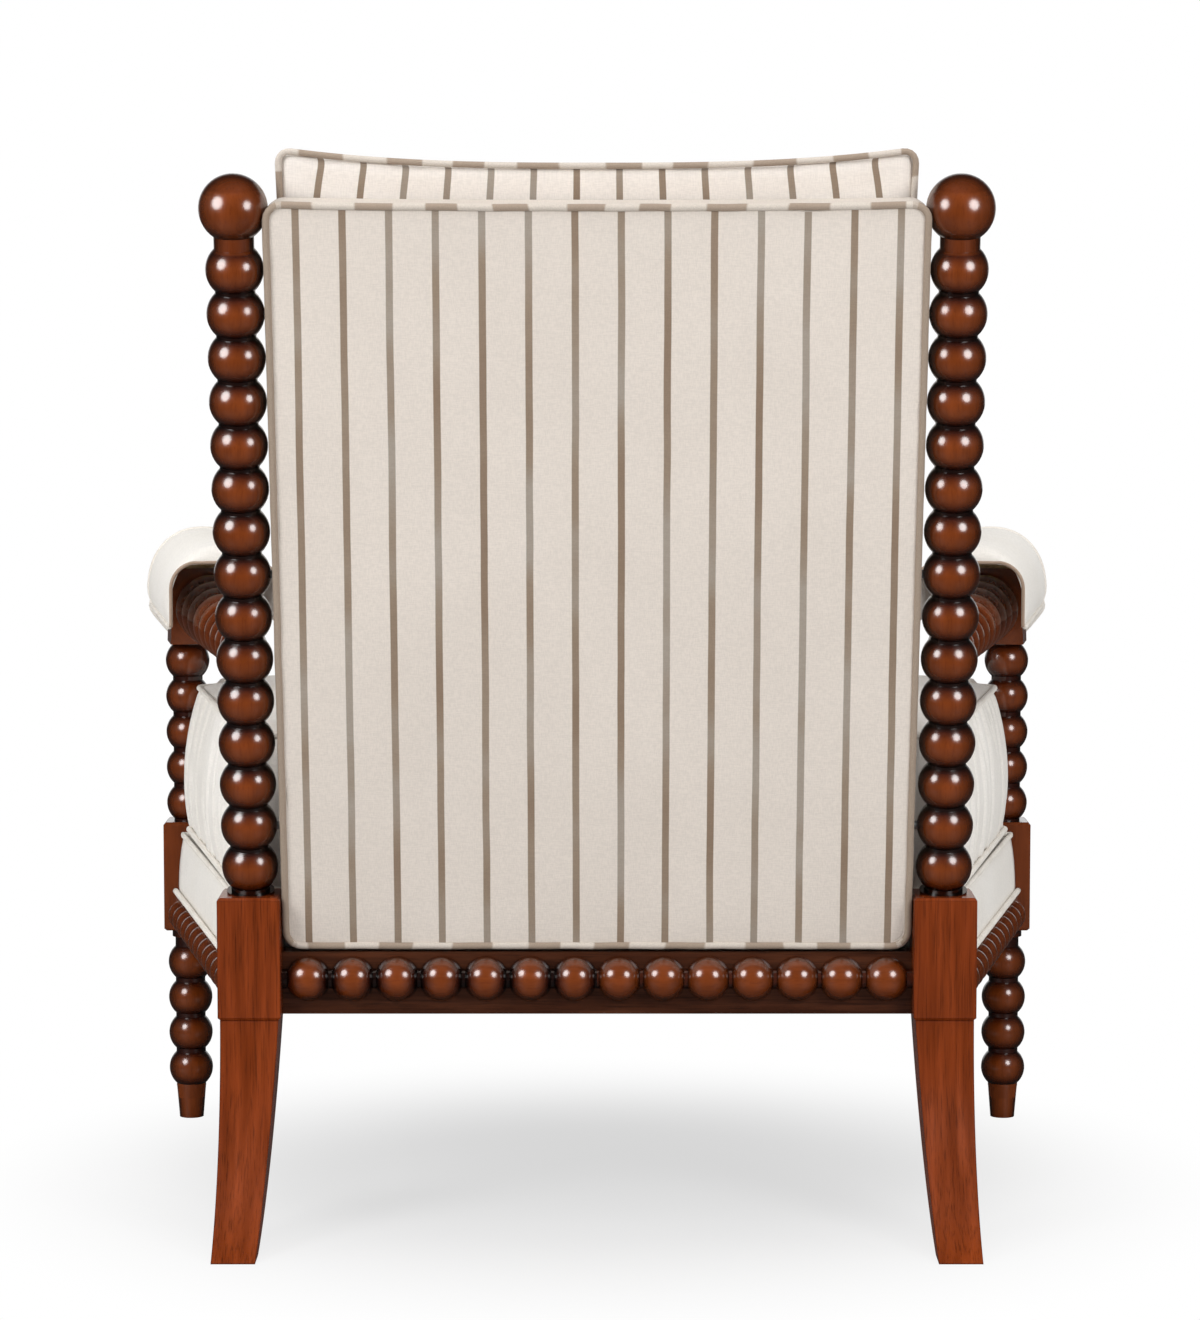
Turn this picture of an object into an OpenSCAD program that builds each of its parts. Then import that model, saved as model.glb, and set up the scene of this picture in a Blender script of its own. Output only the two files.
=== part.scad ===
// Spool-turned armchair. Hardwood frame of strung bobbins, upholstered back, seat deck and arm pads,
// with a loose seat cushion and a loose back cushion. Millimetres, Z up, the sitter faces -Y.
// The origin is on the floor at the middle of the chair's footprint.

/* [Seat frame] */
// Distance from the origin back to the rear face of the rear blocks
rear_y = 234; // [200:1:260]
// Depth over the four square blocks
frame_d = 571; // [520:1:640]
// Width over the front blocks
front_w = 904; // [860:1:960]
// Width over the rear blocks
rear_w = 699; // [660:1:760]
// Height of the legs under the blocks
leg_h = 201; // [170:1:240]
// Height of the square blocks
block_h = 114; // [100:1:140]
// Width of a rear block
rear_block_w = 58; // [50:1:70]
// Depth of a rear block
rear_block_d = 64; // [56:1:76]
// Side of a front block
front_block = 49; // [42:1:58]
// Bevel round the ends of the blocks
block_bevel = 2.5; // [1:0.5:5]
// Thickness of the seat rails
rail_t = 26; // [20:1:30]
// Height from the blocks' underside to the top of the front and side rails
rail_h = 39; // [34:1:46]
// Height from the blocks' underside to the top of the rear rail
rear_rail_h = 61; // [52:1:70]
// How far the rails sit above the underside of the blocks
rail_lift = 3; // [1:0.5:8]
// Inset of the side rails from the outer faces of the blocks, front end
side_inset_front = 19.5; // [16:0.5:26]
// Inset of the side rails from the outer faces of the blocks, rear end
side_inset_rear = 15; // [12:0.5:20]

/* [Back posts] */
// Backward lean of the posts in degrees
post_rake = 12; // [6:0.5:16]
// Number of bobbins on a back post
post_count = 15; // [12:1:17]
// Diameter of a back post bobbin
post_bobbin_d = 52; // [46:0.5:58]
// Spacing of the back post bobbins
post_pitch = 40.1; // [36:0.1:44]
// Diameter of the post between two bobbins
post_neck_d = 36; // [28:0.5:40]
// Height of the foot ring under the first bobbin
post_foot_h = 7; // [4:0.5:12]
// Diameter of the ball finial
finial_d = 61.5; // [54:0.5:70]

/* [Rear legs] */
// Width of a rear leg at its top
rear_leg_top_w = 54; // [46:0.5:57]
// Width of a rear leg at the floor
rear_foot_w = 40; // [30:0.5:50]
// Depth of a rear leg at its top
rear_leg_top_d = 60; // [50:0.5:63]
// Depth of a rear leg at the floor
rear_foot_d = 36; // [28:0.5:46]
// How far the foot sweeps back behind the block
leg_sweep = 115; // [60:1:130]

/* [Front legs] */
// Number of bobbins between block and arm
front_upper_count = 5; // [4:1:6]
// Number of bobbins between block and foot
front_lower_count = 4; // [3:1:5]
// Diameter of a front leg bobbin
front_bobbin_d = 45.4; // [40:0.2:50]
// Diameter of the front leg between two bobbins
front_neck_d = 30.8; // [24:0.2:34]
// Height of the collar under the front block
front_collar_h = 17; // [8:0.5:24]
// Height of the tapered peg foot
peg_h = 34; // [26:1:44]
// Diameter of the peg foot at its top
peg_top_d = 30.6; // [26:0.2:34]
// Diameter of the peg foot at the floor
peg_foot_d = 25; // [20:0.2:29]

/* [Arms] */
// Height of the arm's axis above the floor
arm_z = 541; // [515:1:560]
// Inboard offset of the arm's axis from the front leg's axis
arm_front_in = 20; // [10:0.5:24]
// Inboard offset of the arm's axis from the back post's axis
arm_rear_in = 8.5; // [0:0.5:12]
// Number of the back post bobbin that the arm runs into, counted from 0
arm_bobbin = 5; // [4:1:6]
// Number of bobbins on an arm
arm_count = 11; // [9:1:13]
// Diameter of the first arm bobbin, at the block
arm_front_d = 71; // [60:0.5:74]
// Diameter of the last arm bobbin, at the post
arm_rear_d = 38; // [32:0.5:46]
// Width of the arm block at its top
arm_block_top_w = 72; // [66:0.5:76]
// Width of the arm block at its underside
arm_block_w = 78; // [72:0.5:84]
// Height of the arm block above the axis
arm_block_up = 40; // [38:0.5:44]
// Height of the arm block below the axis
arm_block_down = 39; // [37:0.5:44]
// Length of the arm block
arm_block_l = 52; // [44:1:60]

/* [Arm pads] */
// Length of the pad behind the arm block's centre
pad_back = 250; // [220:1:290]
// Overhang of the pad in front of the arm block
pad_front = 18; // [12:1:26]
// Half width of the pad
pad_half_w = 62; // [58:0.5:68]
// Half width of the channel under the pad
pad_channel = 55; // [50:0.5:57]
// Height of the pad's top above the arm's axis
pad_top = 83; // [78:0.5:90]
// Height of the channel's roof above the arm's axis
pad_roof = 61; // [56:0.5:66]
// Height of the pad's hem below the arm's axis
pad_hem = 2.5; // [0:0.5:8]
// Thickness of the board inside the pad
pad_board_t = 9; // [6:0.5:12]
// Width of the board inside the pad
pad_board_w = 60; // [48:1:66]

/* [Bobbin strips] */
// Diameter of the bobbins on the rear rail
strip_d = 42.4; // [36:0.2:44]
// Spacing of those bobbins
strip_pitch = 41.1; // [38:0.1:44]
// Number of bobbins on the rear strip
rear_strip_count = 14; // [12:1:14]
// Number of bobbins on the front strip
front_strip_count = 22; // [20:1:24]
// Diameter of the bobbins on the side and front rails
side_strip_d = 34; // [28:0.2:36]
// Number of bobbins on a side strip
side_strip_count = 13; // [11:1:15]
// Height of the rear strip's axis above the blocks' underside
rear_strip_z = 36; // [30:0.5:40]
// Height of the side and front strips' axis above the blocks' underside
side_strip_z = 19.5; // [18:0.5:22]

/* [Deck] */
// Height of the upholstered deck above the front rail
deck_h = 60; // [50:1:70]
// Overhang of the deck over the side rails
deck_out = 4; // [2:0.5:8]
// Thickness of the deck's padded cover
deck_cover_t = 4; // [2:0.5:6]
// Diameter of the welts
welt_d = 6; // [4:0.5:8]
// Number of sinuous springs
spring_count = 7; // [5:1:9]
// Wire diameter of the springs
spring_wire = 3.6; // [2.8:0.2:4.4]

/* [Fixed back] */
// Width of the upholstered back
back_w = 568; // [540:1:572]
// Height of the upholstered back along the rake
back_h = 689; // [640:1:720]
// How far the back's lower edge drops below the block top, along the rake
back_drop = 43; // [38:0.5:44]
// Distance from the posts' axis to the rear face of the back
back_rear = 20; // [14:0.5:24]
// Distance from the posts' axis to the inner face of the back
back_inner = 30; // [24:0.5:36]
// Corner radius of the back
back_corner_r = 12; // [6:1:20]
// Width of the back frame's timbers
stile_w = 46; // [36:1:60]

/* [Cushions] */
// Height of the seat cushion between its welts
seat_cushion_h = 147; // [120:1:160]
// Crown of the seat cushion above its top welt
seat_crown = 19; // [8:1:24]
// Half width of the seat cushion behind the front legs
seat_half_front = 417; // [400:1:420]
// Half width of the seat cushion at the back posts
seat_half_rear = 331; // [315:1:335]
// Half width of the seat cushion between the front legs
seat_half_nose = 397; // [380:1:400]
// Height of the back cushion along the rake
back_cushion_h = 541; // [520:1:560]
// Width of the back cushion
back_cushion_w = 574; // [540:1:578]
// Thickness of the back cushion at its edge
back_cushion_t = 92; // [70:1:110]
// Crown of the back cushion towards the sitter
back_crown = 34; // [20:1:45]
// Sag of the back cushion's top edge between its corners
back_sag = 14; // [0:1:22]

/* [Hidden] */
$fn = 64;

mahogany = "#6b2f16";
beech = "#c9a06a";
plywood = "#d9bd8a";
linen = "#e9e2d6";
taupe = "#a39685";
lining = "#c9bfb0";
foam = "#f1e7c4";
steel = "#8d9297";
zinc = "#b9bdc0";

// running gap between pieces that fit together, and between soft pieces and their neighbours
fit = 0.2;
soft_gap = 0.3;

front_y = rear_y - frame_d;
block_top = leg_h + block_h;
post_x = rear_w / 2 - rear_block_w / 2;
post_y = rear_y - rear_block_d / 2;
front_x = front_w / 2 - front_block / 2;
front_leg_y = front_y + front_block / 2;
front_block_rear = front_y + front_block;
rear_block_front = rear_y - rear_block_d;

// post tenon and leg tenon
post_tenon_d = 22;
post_tenon_l = 28;
leg_tenon_d = 24;
leg_tenon_l = 40;
arm_tenon_d = 16;
arm_tenon_l = 18;
front_tenon_d = 18;
front_tenon_l = 25;

// heights of the bobbins along a back post, from the block's top
function post_s(i) = post_foot_h + post_pitch / 2 + i * post_pitch;
finial_s = post_s(post_count - 1) + post_bobbin_d / 2 + finial_d / 2 - 2;

// seat rails
rail_bottom = leg_h + rail_lift;
rail_top = leg_h + rail_h;
rear_rail_top = leg_h + rear_rail_h;
rail_inset = strip_d / 2 - 0.5;
rail_tenon_t = 10;
rail_tenon_l = 15;
side_tenon_l = 10;
tenon_shoulder = 6;
side_rear_x = rear_w / 2 - side_inset_rear;
side_front_x = front_w / 2 - side_inset_front;
side_run = front_block_rear - rear_block_front;
side_len = sqrt(pow(side_front_x - side_rear_x, 2) + pow(side_run, 2));
side_angle = atan2(side_run, side_front_x - side_rear_x);
side_slope = (side_front_x - side_rear_x) / -side_run;

// arm, from the middle of its block to the bobbin of the back post that it meets
arm_s = post_s(arm_bobbin);
arm_a = [front_x - arm_front_in, front_leg_y, arm_z];
arm_b = [post_x - arm_rear_in, post_y + arm_s * sin(post_rake), block_top + arm_s * cos(post_rake)];
arm_v = arm_b - arm_a;
arm_plan = sqrt(arm_v[0] * arm_v[0] + arm_v[1] * arm_v[1]);
arm_l = norm(arm_v);
arm_turn = atan2(arm_v[1], arm_v[0]);
arm_dip = -atan2(arm_v[2], arm_plan);
arm_bead_start = arm_block_l / 2;
arm_bead_end = arm_l - post_bobbin_d / 2 - 1;
arm_bead_step = (arm_front_d - arm_rear_d) / (arm_count - 1);
function arm_d(i) = arm_front_d - i * arm_bead_step;
function arm_sum(n) = n <= 0 ? 0 : arm_d(n - 1) + arm_sum(n - 1);
function arm_at(i) = arm_bead_start + (arm_bead_end - arm_bead_start)
    * (arm_sum(i) + arm_d(i) / 2) / arm_sum(arm_count);
arm_under = arm_z - arm_block_down;

// spacing of the front leg's bobbins
front_upper_pitch = (arm_under - block_top) / front_upper_count;
front_lower_pitch = (leg_h - front_collar_h - peg_h) / front_lower_count;

// deck
deck_bottom = rail_top + 0.5;
deck_top = deck_bottom + deck_h;
deck_front = front_y + 5;
deck_rear = rear_block_front - 9;
deck_pad_bottom = rail_top + spring_wire + 5;

// fixed back, in the raked frame
back_bottom_s = -back_drop;
back_top_s = back_bottom_s + back_h;
border_t = 3;
panel_t = 4;
stile_rear = back_rear - panel_t - fit;
webbing_t = 1.6;
inner_t = 16;
stile_front = -back_inner + inner_t + 2 * webbing_t + 0.6;
stile_out = back_w / 2 - border_t - fit;
stile_bottom = back_bottom_s + border_t + fit;
stile_top = back_top_s - border_t - fit;
bolt_d = 8;
bolt_rows = [1, 7, 13];
bolt_head_d = 16;
bolt_head_h = 5;
bolt_in = stile_out - stile_w + 14;

// seat cushion and back cushion
seat_base = deck_top + welt_d + fit + 5;
seat_rear_y = rear_block_front - 4;
seat_front_y = front_y - 4;
seat_lean = (seat_cushion_h + seat_base - block_top) * tan(post_rake) - 4;
back_cushion_bottom = 148;
back_cushion_rear = back_inner + soft_gap;

// Left pieces are drawn as they stand; right ones are their mirror images
module mirrored() {
    mirror([1, 0, 0]) children();
}

// Puts children in the raked frame: origin on the block's top, Z up the post, +Y towards the rear
module raked(x = 0) {
    translate([x, post_y, block_top]) rotate([-post_rake, 0, 0]) children();
}

// Puts children on the side rail: origin at its rear outer corner, +X forward along the rail, +Y outward
module on_side() {
    translate([side_rear_x, rear_block_front, 0]) rotate([0, 0, side_angle]) children();
}

// Puts children on the arm block, level, +X rearward along the arm
module on_arm_block() {
    translate(arm_a) rotate([0, 0, arm_turn]) children();
}

// Puts children on the arm's own axis
module on_arm() {
    translate(arm_a) rotate([0, arm_dip, arm_turn]) children();
}

// Outline of one bobbin of diameter d at height s
module bobbin_outline(d, s) {
    translate([0, s]) circle(d = d);
}

// Revolves the children's outline about Z, keeping what lies on the +X side
module turned(s_low, s_high, r_max, sweep = 360) {
    rotate_extrude(angle = sweep) intersection() {
        children();
        translate([0, s_low]) square([r_max, s_high - s_low]);
    }
}

// Outline of a rectangle with its two ends' edges bevelled
function bevelled(w, h, c) = [
    [-w / 2 + c, 0], [w / 2 - c, 0], [w / 2, c], [w / 2, h - c],
    [w / 2 - c, h], [-w / 2 + c, h], [-w / 2, h - c], [-w / 2, c]];

// Square block with bevelled ends, standing on Z = 0
module bevelled_block(w, d, h, c) {
    intersection() {
        translate([0, d / 2, 0]) rotate([90, 0, 0]) linear_extrude(d) polygon(bevelled(w, h, c));
        translate([-w / 2, 0, 0]) rotate([90, 0, 90]) linear_extrude(w) polygon(bevelled(d, h, c));
    }
}

// Closed loop of points along a rounded rectangle that is centred in X and starts at z0
function rounded_rect(w, z0, h, r, n) = [
    for (q = [0:3]) for (k = [0:n])
        let (a = 90 * q + 90 * k / n,
             cx = (q == 0 || q == 3) ? w / 2 - r : -w / 2 + r,
             cz = (q == 0 || q == 1) ? z0 + h - r : z0 + r)
        [cx + r * cos(a), cz + r * sin(a)]];

// Unit vector that bisects the two edges at point i of a closed loop, pointing out of a loop that runs
// anticlockwise, and long enough to keep a parallel loop at unit distance
function miter(p, i) =
    let (n = len(p), a = p[(i + n - 1) % n], b = p[i], c = p[(i + 1) % n],
         u = (b - a) / norm(b - a), v = (c - b) / norm(c - b),
         nu = [u[1], -u[0]], nv = [v[1], -v[0]], m = nu + nv)
    m * 2 / (m * m);

// Round cord that follows a closed loop lying in the XY plane
module loop_cord(p, d, sides = 8) {
    n = len(p);
    points = [for (i = [0:n - 1]) let (m = miter(p, i)) for (k = [0:sides - 1])
        let (a = 360 * k / sides)
        [p[i][0] + m[0] * cos(a) * d / 2, p[i][1] + m[1] * cos(a) * d / 2, sin(a) * d / 2]];
    faces = [for (i = [0:n - 1]) for (k = [0:sides - 1])
        let (i2 = (i + 1) % n, k2 = (k + 1) % sides,
             a = i * sides + k, b = i * sides + k2, c = i2 * sides + k2, e = i2 * sides + k)
        each [[a, b, c], [a, c, e]]];
    polyhedron(points, faces);
}

// Back post: bobbins, finial and round tenon in one turning. The hole for the arm's tenon and the
// holes for the back's bolts are bored in it
module post_turning() {
    turned(-post_foot_h, finial_s + finial_d, finial_d) {
        translate([0, -post_foot_h]) square([post_neck_d / 2, finial_s + post_foot_h]);
        translate([0, -post_foot_h]) square([post_neck_d / 2 + 4, post_foot_h + 4]);
        for (i = [0:post_count - 1]) bobbin_outline(post_bobbin_d, post_s(i));
        translate([0, finial_s]) circle(d = finial_d);
    }
}

module arm_socket(extra) {
    on_arm() translate([arm_l - post_bobbin_d / 2 - 2, 0, 0]) rotate([0, 90, 0])
        cylinder(d = arm_tenon_d + 2 * extra, h = arm_tenon_l + 2 + extra);
}

module bolt_bores(extra) {
    for (i = bolt_rows) raked() translate([bolt_in, 0, post_s(i)]) rotate([0, 90, 0])
        cylinder(d = bolt_d + 2 * extra, h = post_x + 6 - bolt_in);
}

module left_back_post() {
    color(mahogany) difference() {
        union() {
            intersection() {
                raked(post_x) post_turning();
                translate([post_x - 100, post_y - 100, block_top]) cube([200, 400, 900]);
            }
            raked(post_x) translate([0, 0, -post_tenon_l])
                cylinder(d = post_tenon_d, h = post_tenon_l + post_foot_h);
        }
        arm_socket(fit);
        bolt_bores(fit);
    }
}

module right_back_post() {
    mirrored() left_back_post();
}

// Rail tenons, drawn larger by extra for the mortises
module rear_tenons(extra) {
    for (side = [-1, 1]) translate([side * (rear_w / 2 - rear_block_w + rail_tenon_l / 2),
            rear_y - rail_inset - rail_tenon_t / 2, (rail_bottom + rear_rail_top) / 2])
        cube([rail_tenon_l + 2 * extra, rail_tenon_t + 2 * extra,
            rear_rail_top - rail_bottom - 2 * tenon_shoulder + 2 * extra], center = true);
}

module front_tenons(extra) {
    for (side = [-1, 1]) translate([side * (front_w / 2 - front_block + rail_tenon_l / 2),
            front_y + rail_inset + rail_tenon_t / 2, (rail_bottom + rail_top) / 2])
        cube([rail_tenon_l + 2 * extra, rail_tenon_t + 2 * extra,
            rail_top - rail_bottom - 2 * tenon_shoulder + 2 * extra], center = true);
}

module side_tenons(extra) {
    on_side() translate([side_len / 2, -rail_t / 2, (rail_bottom + rail_top) / 2])
        cube([side_len + 2 * side_tenon_l + 2 * extra, rail_tenon_t + 2 * extra,
            rail_top - rail_bottom - 2 * tenon_shoulder + 2 * extra], center = true);
}

module left_rear_block() {
    color(mahogany) difference() {
        translate([post_x, post_y, leg_h]) bevelled_block(rear_block_w, rear_block_d, block_h, block_bevel);
        raked(post_x) translate([0, 0, -post_tenon_l - fit])
            cylinder(d = post_tenon_d + 2 * fit, h = post_tenon_l + 10);
        translate([post_x, post_y, leg_h - 1]) cylinder(d = leg_tenon_d + 2 * fit, h = leg_tenon_l + 1 + fit);
        rear_tenons(fit);
        side_tenons(fit);
    }
}

module right_rear_block() {
    mirrored() left_rear_block();
}

// Saber leg: two arcs, both upright where they leave the block, cut to a taper across the width
module saber_outline() {
    front_sweep = leg_sweep + rear_leg_top_d - rear_foot_d;
    rear_r = (leg_h * leg_h + leg_sweep * leg_sweep) / (2 * leg_sweep);
    front_r = (leg_h * leg_h + front_sweep * front_sweep) / (2 * front_sweep);
    difference() {
        intersection() {
            translate([front_r - rear_leg_top_d, leg_h]) circle(r = front_r, $fn = 180);
            translate([-rear_leg_top_d, 0]) square([rear_leg_top_d + leg_sweep, leg_h]);
        }
        translate([rear_r, leg_h]) circle(r = rear_r, $fn = 180);
    }
}

module left_rear_leg() {
    reveal = (rear_block_w - rear_leg_top_w) / 2;
    outer_x = rear_w / 2 - reveal;
    color(mahogany) union() {
        intersection() {
            translate([post_x - rear_block_w, rear_y - reveal, 0]) rotate([90, 0, 90])
                linear_extrude(2 * rear_block_w) saber_outline();
            translate([0, rear_y + 2 * leg_sweep, 0]) rotate([90, 0, 0]) linear_extrude(4 * leg_sweep)
                polygon([[outer_x - rear_leg_top_w, leg_h], [outer_x - rear_foot_w, 0],
                    [outer_x, 0], [outer_x, leg_h]]);
        }
        translate([post_x, post_y, leg_h - 5]) cylinder(d = leg_tenon_d, h = leg_tenon_l + 5);
    }
}

module right_rear_leg() {
    mirrored() left_rear_leg();
}

// Front leg: one turning from peg foot to arm, with the square block left in it
module front_turning() {
    turned(0, arm_under + front_tenon_l, front_block) {
        polygon([[0, 0], [peg_foot_d / 2, 0], [peg_top_d / 2, peg_h], [0, peg_h]]);
        translate([0, peg_h - 1]) square([front_neck_d / 2, leg_h - peg_h + 2]);
        for (i = [0:front_lower_count - 1])
            bobbin_outline(front_bobbin_d, peg_h + (i + 0.5) * front_lower_pitch);
        translate([0, leg_h - front_collar_h / 2]) square([front_neck_d / 2 + 3, front_collar_h / 2 + 1]);
        translate([0, block_top - 1]) square([front_neck_d / 2, arm_under - block_top + 1]);
        for (i = [0:front_upper_count - 1])
            bobbin_outline(front_bobbin_d, block_top + (i + 0.5) * front_upper_pitch);
        translate([0, arm_under - 2]) square([front_tenon_d / 2, front_tenon_l + 2]);
    }
}

module left_front_leg() {
    color(mahogany) difference() {
        union() {
            intersection() {
                translate([front_x, front_leg_y, 0]) front_turning();
                translate([front_x - 50, front_leg_y - 50, 0]) cube([100, 100, arm_under]);
            }
            translate([front_x, front_leg_y, arm_under - 2]) cylinder(d = front_tenon_d, h = front_tenon_l + 2);
            translate([front_x, front_leg_y, leg_h])
                bevelled_block(front_block, front_block, block_h, block_bevel);
        }
        front_tenons(fit);
        side_tenons(fit);
    }
}

module right_front_leg() {
    mirrored() left_front_leg();
}

// Arm: square block at the front, then bobbins that grow smaller towards the back post, coped to it
module arm_turning() {
    turned(0, arm_bead_end + 20, arm_front_d) {
        for (i = [0:arm_count - 1]) bobbin_outline(arm_d(i), arm_at(i));
        for (i = [0:arm_count - 1])
            translate([0, arm_at(i)]) square([arm_d(i) * 0.3,
                (i < arm_count - 1 ? arm_at(i + 1) : arm_bead_end + 12) - arm_at(i)]);
        square([arm_front_d * 0.32, arm_at(0)]);
    }
}

module left_arm_rail() {
    color(mahogany) difference() {
        union() {
            difference() {
                on_arm() rotate([0, 90, 0]) arm_turning();
                raked(post_x) translate([0, 0, arm_s]) sphere(d = post_bobbin_d + 2 * fit);
            }
            on_arm() translate([arm_bead_end - 20, 0, 0]) rotate([0, 90, 0])
                cylinder(d = arm_tenon_d, h = arm_tenon_l + 15);
            on_arm_block() translate([-arm_block_l / 2, 0, 0]) rotate([90, 0, 90]) linear_extrude(arm_block_l)
                polygon([[-arm_block_w / 2, -arm_block_down], [arm_block_w / 2, -arm_block_down],
                    [arm_block_top_w / 2, arm_block_up], [-arm_block_top_w / 2, arm_block_up]]);
        }
        translate([front_x, front_leg_y, arm_under - 1])
            cylinder(d = front_tenon_d + 2 * fit, h = front_tenon_l + 1 + fit);
        arm_screw_holes(fit);
    }
}

module right_arm_rail() {
    mirrored() left_arm_rail();
}

// Seat rails
module front_rail() {
    clear_w = front_w - 2 * front_block;
    color(beech) difference() {
        union() {
            translate([-clear_w / 2, front_y + rail_inset, rail_bottom])
                cube([clear_w, rail_t, rail_top - rail_bottom]);
            front_tenons(0);
        }
        for (m = [0, 1]) mirror([m, 0, 0]) corner_screw_holes(0.1);
    }
}

module rear_rail() {
    clear_w = rear_w - 2 * rear_block_w;
    color(mahogany) difference() {
        union() {
            translate([-clear_w / 2, rear_y - rail_inset - rail_t, rail_bottom])
                cube([clear_w, rail_t, rear_rail_top - rail_bottom]);
            rear_tenons(0);
        }
        for (m = [0, 1]) mirror([m, 0, 0]) corner_screw_holes(0.1);
    }
}

module left_side_rail() {
    color(beech) difference() {
        union() {
            intersection() {
                on_side() translate([-rail_t, -rail_t, rail_bottom])
                    cube([side_len + 2 * rail_t, rail_t, rail_top - rail_bottom]);
                translate([0, front_block_rear, 0])
                    cube([front_w, rear_block_front - front_block_rear, block_top]);
            }
            intersection() {
                side_tenons(0);
                translate([0, front_block_rear - side_tenon_l, 0])
                    cube([front_w, rear_block_front - front_block_rear + 2 * side_tenon_l, block_top]);
            }
        }
        corner_screw_holes(0.1);
    }
}

module right_side_rail() {
    mirrored() left_side_rail();
}

// Split turning along +X from 0 to length: a string of half bobbins, flat where it is glued to the rail
module bobbin_string(length, count, pitch, d) {
    start = (length - (count - 1) * pitch) / 2;
    rotate([0, 90, 0]) turned(0, length, d, 180) {
        square([d * 0.22, length]);
        for (i = [0:count - 1]) bobbin_outline(d, start + i * pitch);
    }
}

module rear_bobbin_strip() {
    clear_w = rear_w - 2 * rear_block_w - 2 * fit;
    color(mahogany) translate([-clear_w / 2, rear_y - rail_inset, leg_h + rear_strip_z])
        bobbin_string(clear_w, rear_strip_count, strip_pitch, strip_d);
}

module front_bobbin_strip() {
    clear_w = front_w - 2 * front_block - 2 * fit;
    color(mahogany) translate([clear_w / 2, front_y + rail_inset, leg_h + side_strip_z])
        rotate([0, 0, 180]) bobbin_string(clear_w, front_strip_count, clear_w / front_strip_count, side_strip_d);
}

module left_bobbin_strip() {
    start = side_slope * side_strip_d / 2 + fit;
    run = side_len - fit - start;
    color(mahogany) on_side() translate([start, 0, leg_h + side_strip_z])
        bobbin_string(run, side_strip_count, run / side_strip_count, side_strip_d);
}

module right_bobbin_strip() {
    mirrored() left_bobbin_strip();
}

// Glued and screwed blocks behind the rails' corners. Each fills the corner between two rails
corner_leg = 62;
corner_h = 30;
corner_z = rail_bottom + 3;
side_inner_rear = [side_rear_x, rear_block_front] + [-rail_t * sin(-side_angle), -rail_t * cos(side_angle)];
function side_inner_x(y) = side_inner_rear[0] + (side_inner_rear[1] - y) * side_slope - fit;

module front_corner_block() {
    y0 = front_y + rail_inset + rail_t + fit;
    x0 = side_inner_x(front_block_rear + fit);
    translate([0, 0, corner_z]) linear_extrude(corner_h) polygon([
        [x0 - corner_leg, y0], [front_x - front_block / 2 - fit, y0],
        [front_x - front_block / 2 - fit, front_block_rear + fit], [x0, front_block_rear + fit],
        [side_inner_x(y0 + corner_leg), y0 + corner_leg]]);
}

module rear_corner_block() {
    y0 = rear_y - rail_inset - rail_t - fit;
    x_block = post_x - rear_block_w / 2 - fit;
    y_block = rear_block_front - fit;
    translate([0, 0, corner_z]) linear_extrude(corner_h) polygon([
        [side_inner_x(y_block), y_block], [x_block, y_block], [x_block, y0],
        [x_block - corner_leg + 12, y0], [side_inner_x(y_block - corner_leg), y_block - corner_leg]]);
}

// Screw lines: one square to the front or rear rail, one square to the side rail, at each corner
screw_d = 4.2;
screw_l = 34;
screw_head_d = 9;
screw_head_l = 3;
module corner_screw_places() {
    low = corner_z + corner_h * 0.3;
    high = corner_z + corner_h * 0.7;
    translate([front_x - front_block / 2 - 34, front_y + rail_inset + rail_t - 14, low])
        rotate([-90, 0, 0]) children();
    translate([post_x - rear_block_w / 2 - 25, rear_y - rail_inset - rail_t + 14, low])
        rotate([90, 0, 0]) children();
    for (at = [corner_leg * 0.62, side_len - corner_leg * 0.56])
        on_side() translate([at, -rail_t + 14, high]) rotate([90, 0, 0]) children();
}

module corner_screw_holes(extra) {
    corner_screw_places() {
        cylinder(d = screw_d + 2 * extra, h = 60);
    }
}

module corner_screws_left() {
    corner_screw_places() union() {
        cylinder(d = screw_d, h = screw_l);
        translate([0, 0, screw_l - 0.5]) cylinder(d = screw_head_d, h = screw_head_l);
    }
}

module corner_blocks() {
    color(beech) for (m = [0, 1]) mirror([m, 0, 0]) difference() {
        union() {
            front_corner_block();
            rear_corner_block();
        }
        corner_screw_holes(0.1);
        corner_screw_places() {
            translate([0, 0, screw_l - 0.5 - fit]) cylinder(d = screw_head_d + 1, h = 60);
        }
    }
}

module corner_block_screws() {
    color(zinc) for (m = [0, 1]) mirror([m, 0, 0]) corner_screws_left();
}

// Batten on the rear rail that takes the springs' rear ends at the height of the front rail
batten = 18;
batten_w = 2 * (post_x - rear_block_w / 2 - corner_leg) - 20;
module spring_batten() {
    color(beech) translate([-batten_w / 2, rear_y - rail_inset - rail_t - fit - batten, rail_top - batten])
        cube([batten_w, batten, batten]);
}

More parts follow.
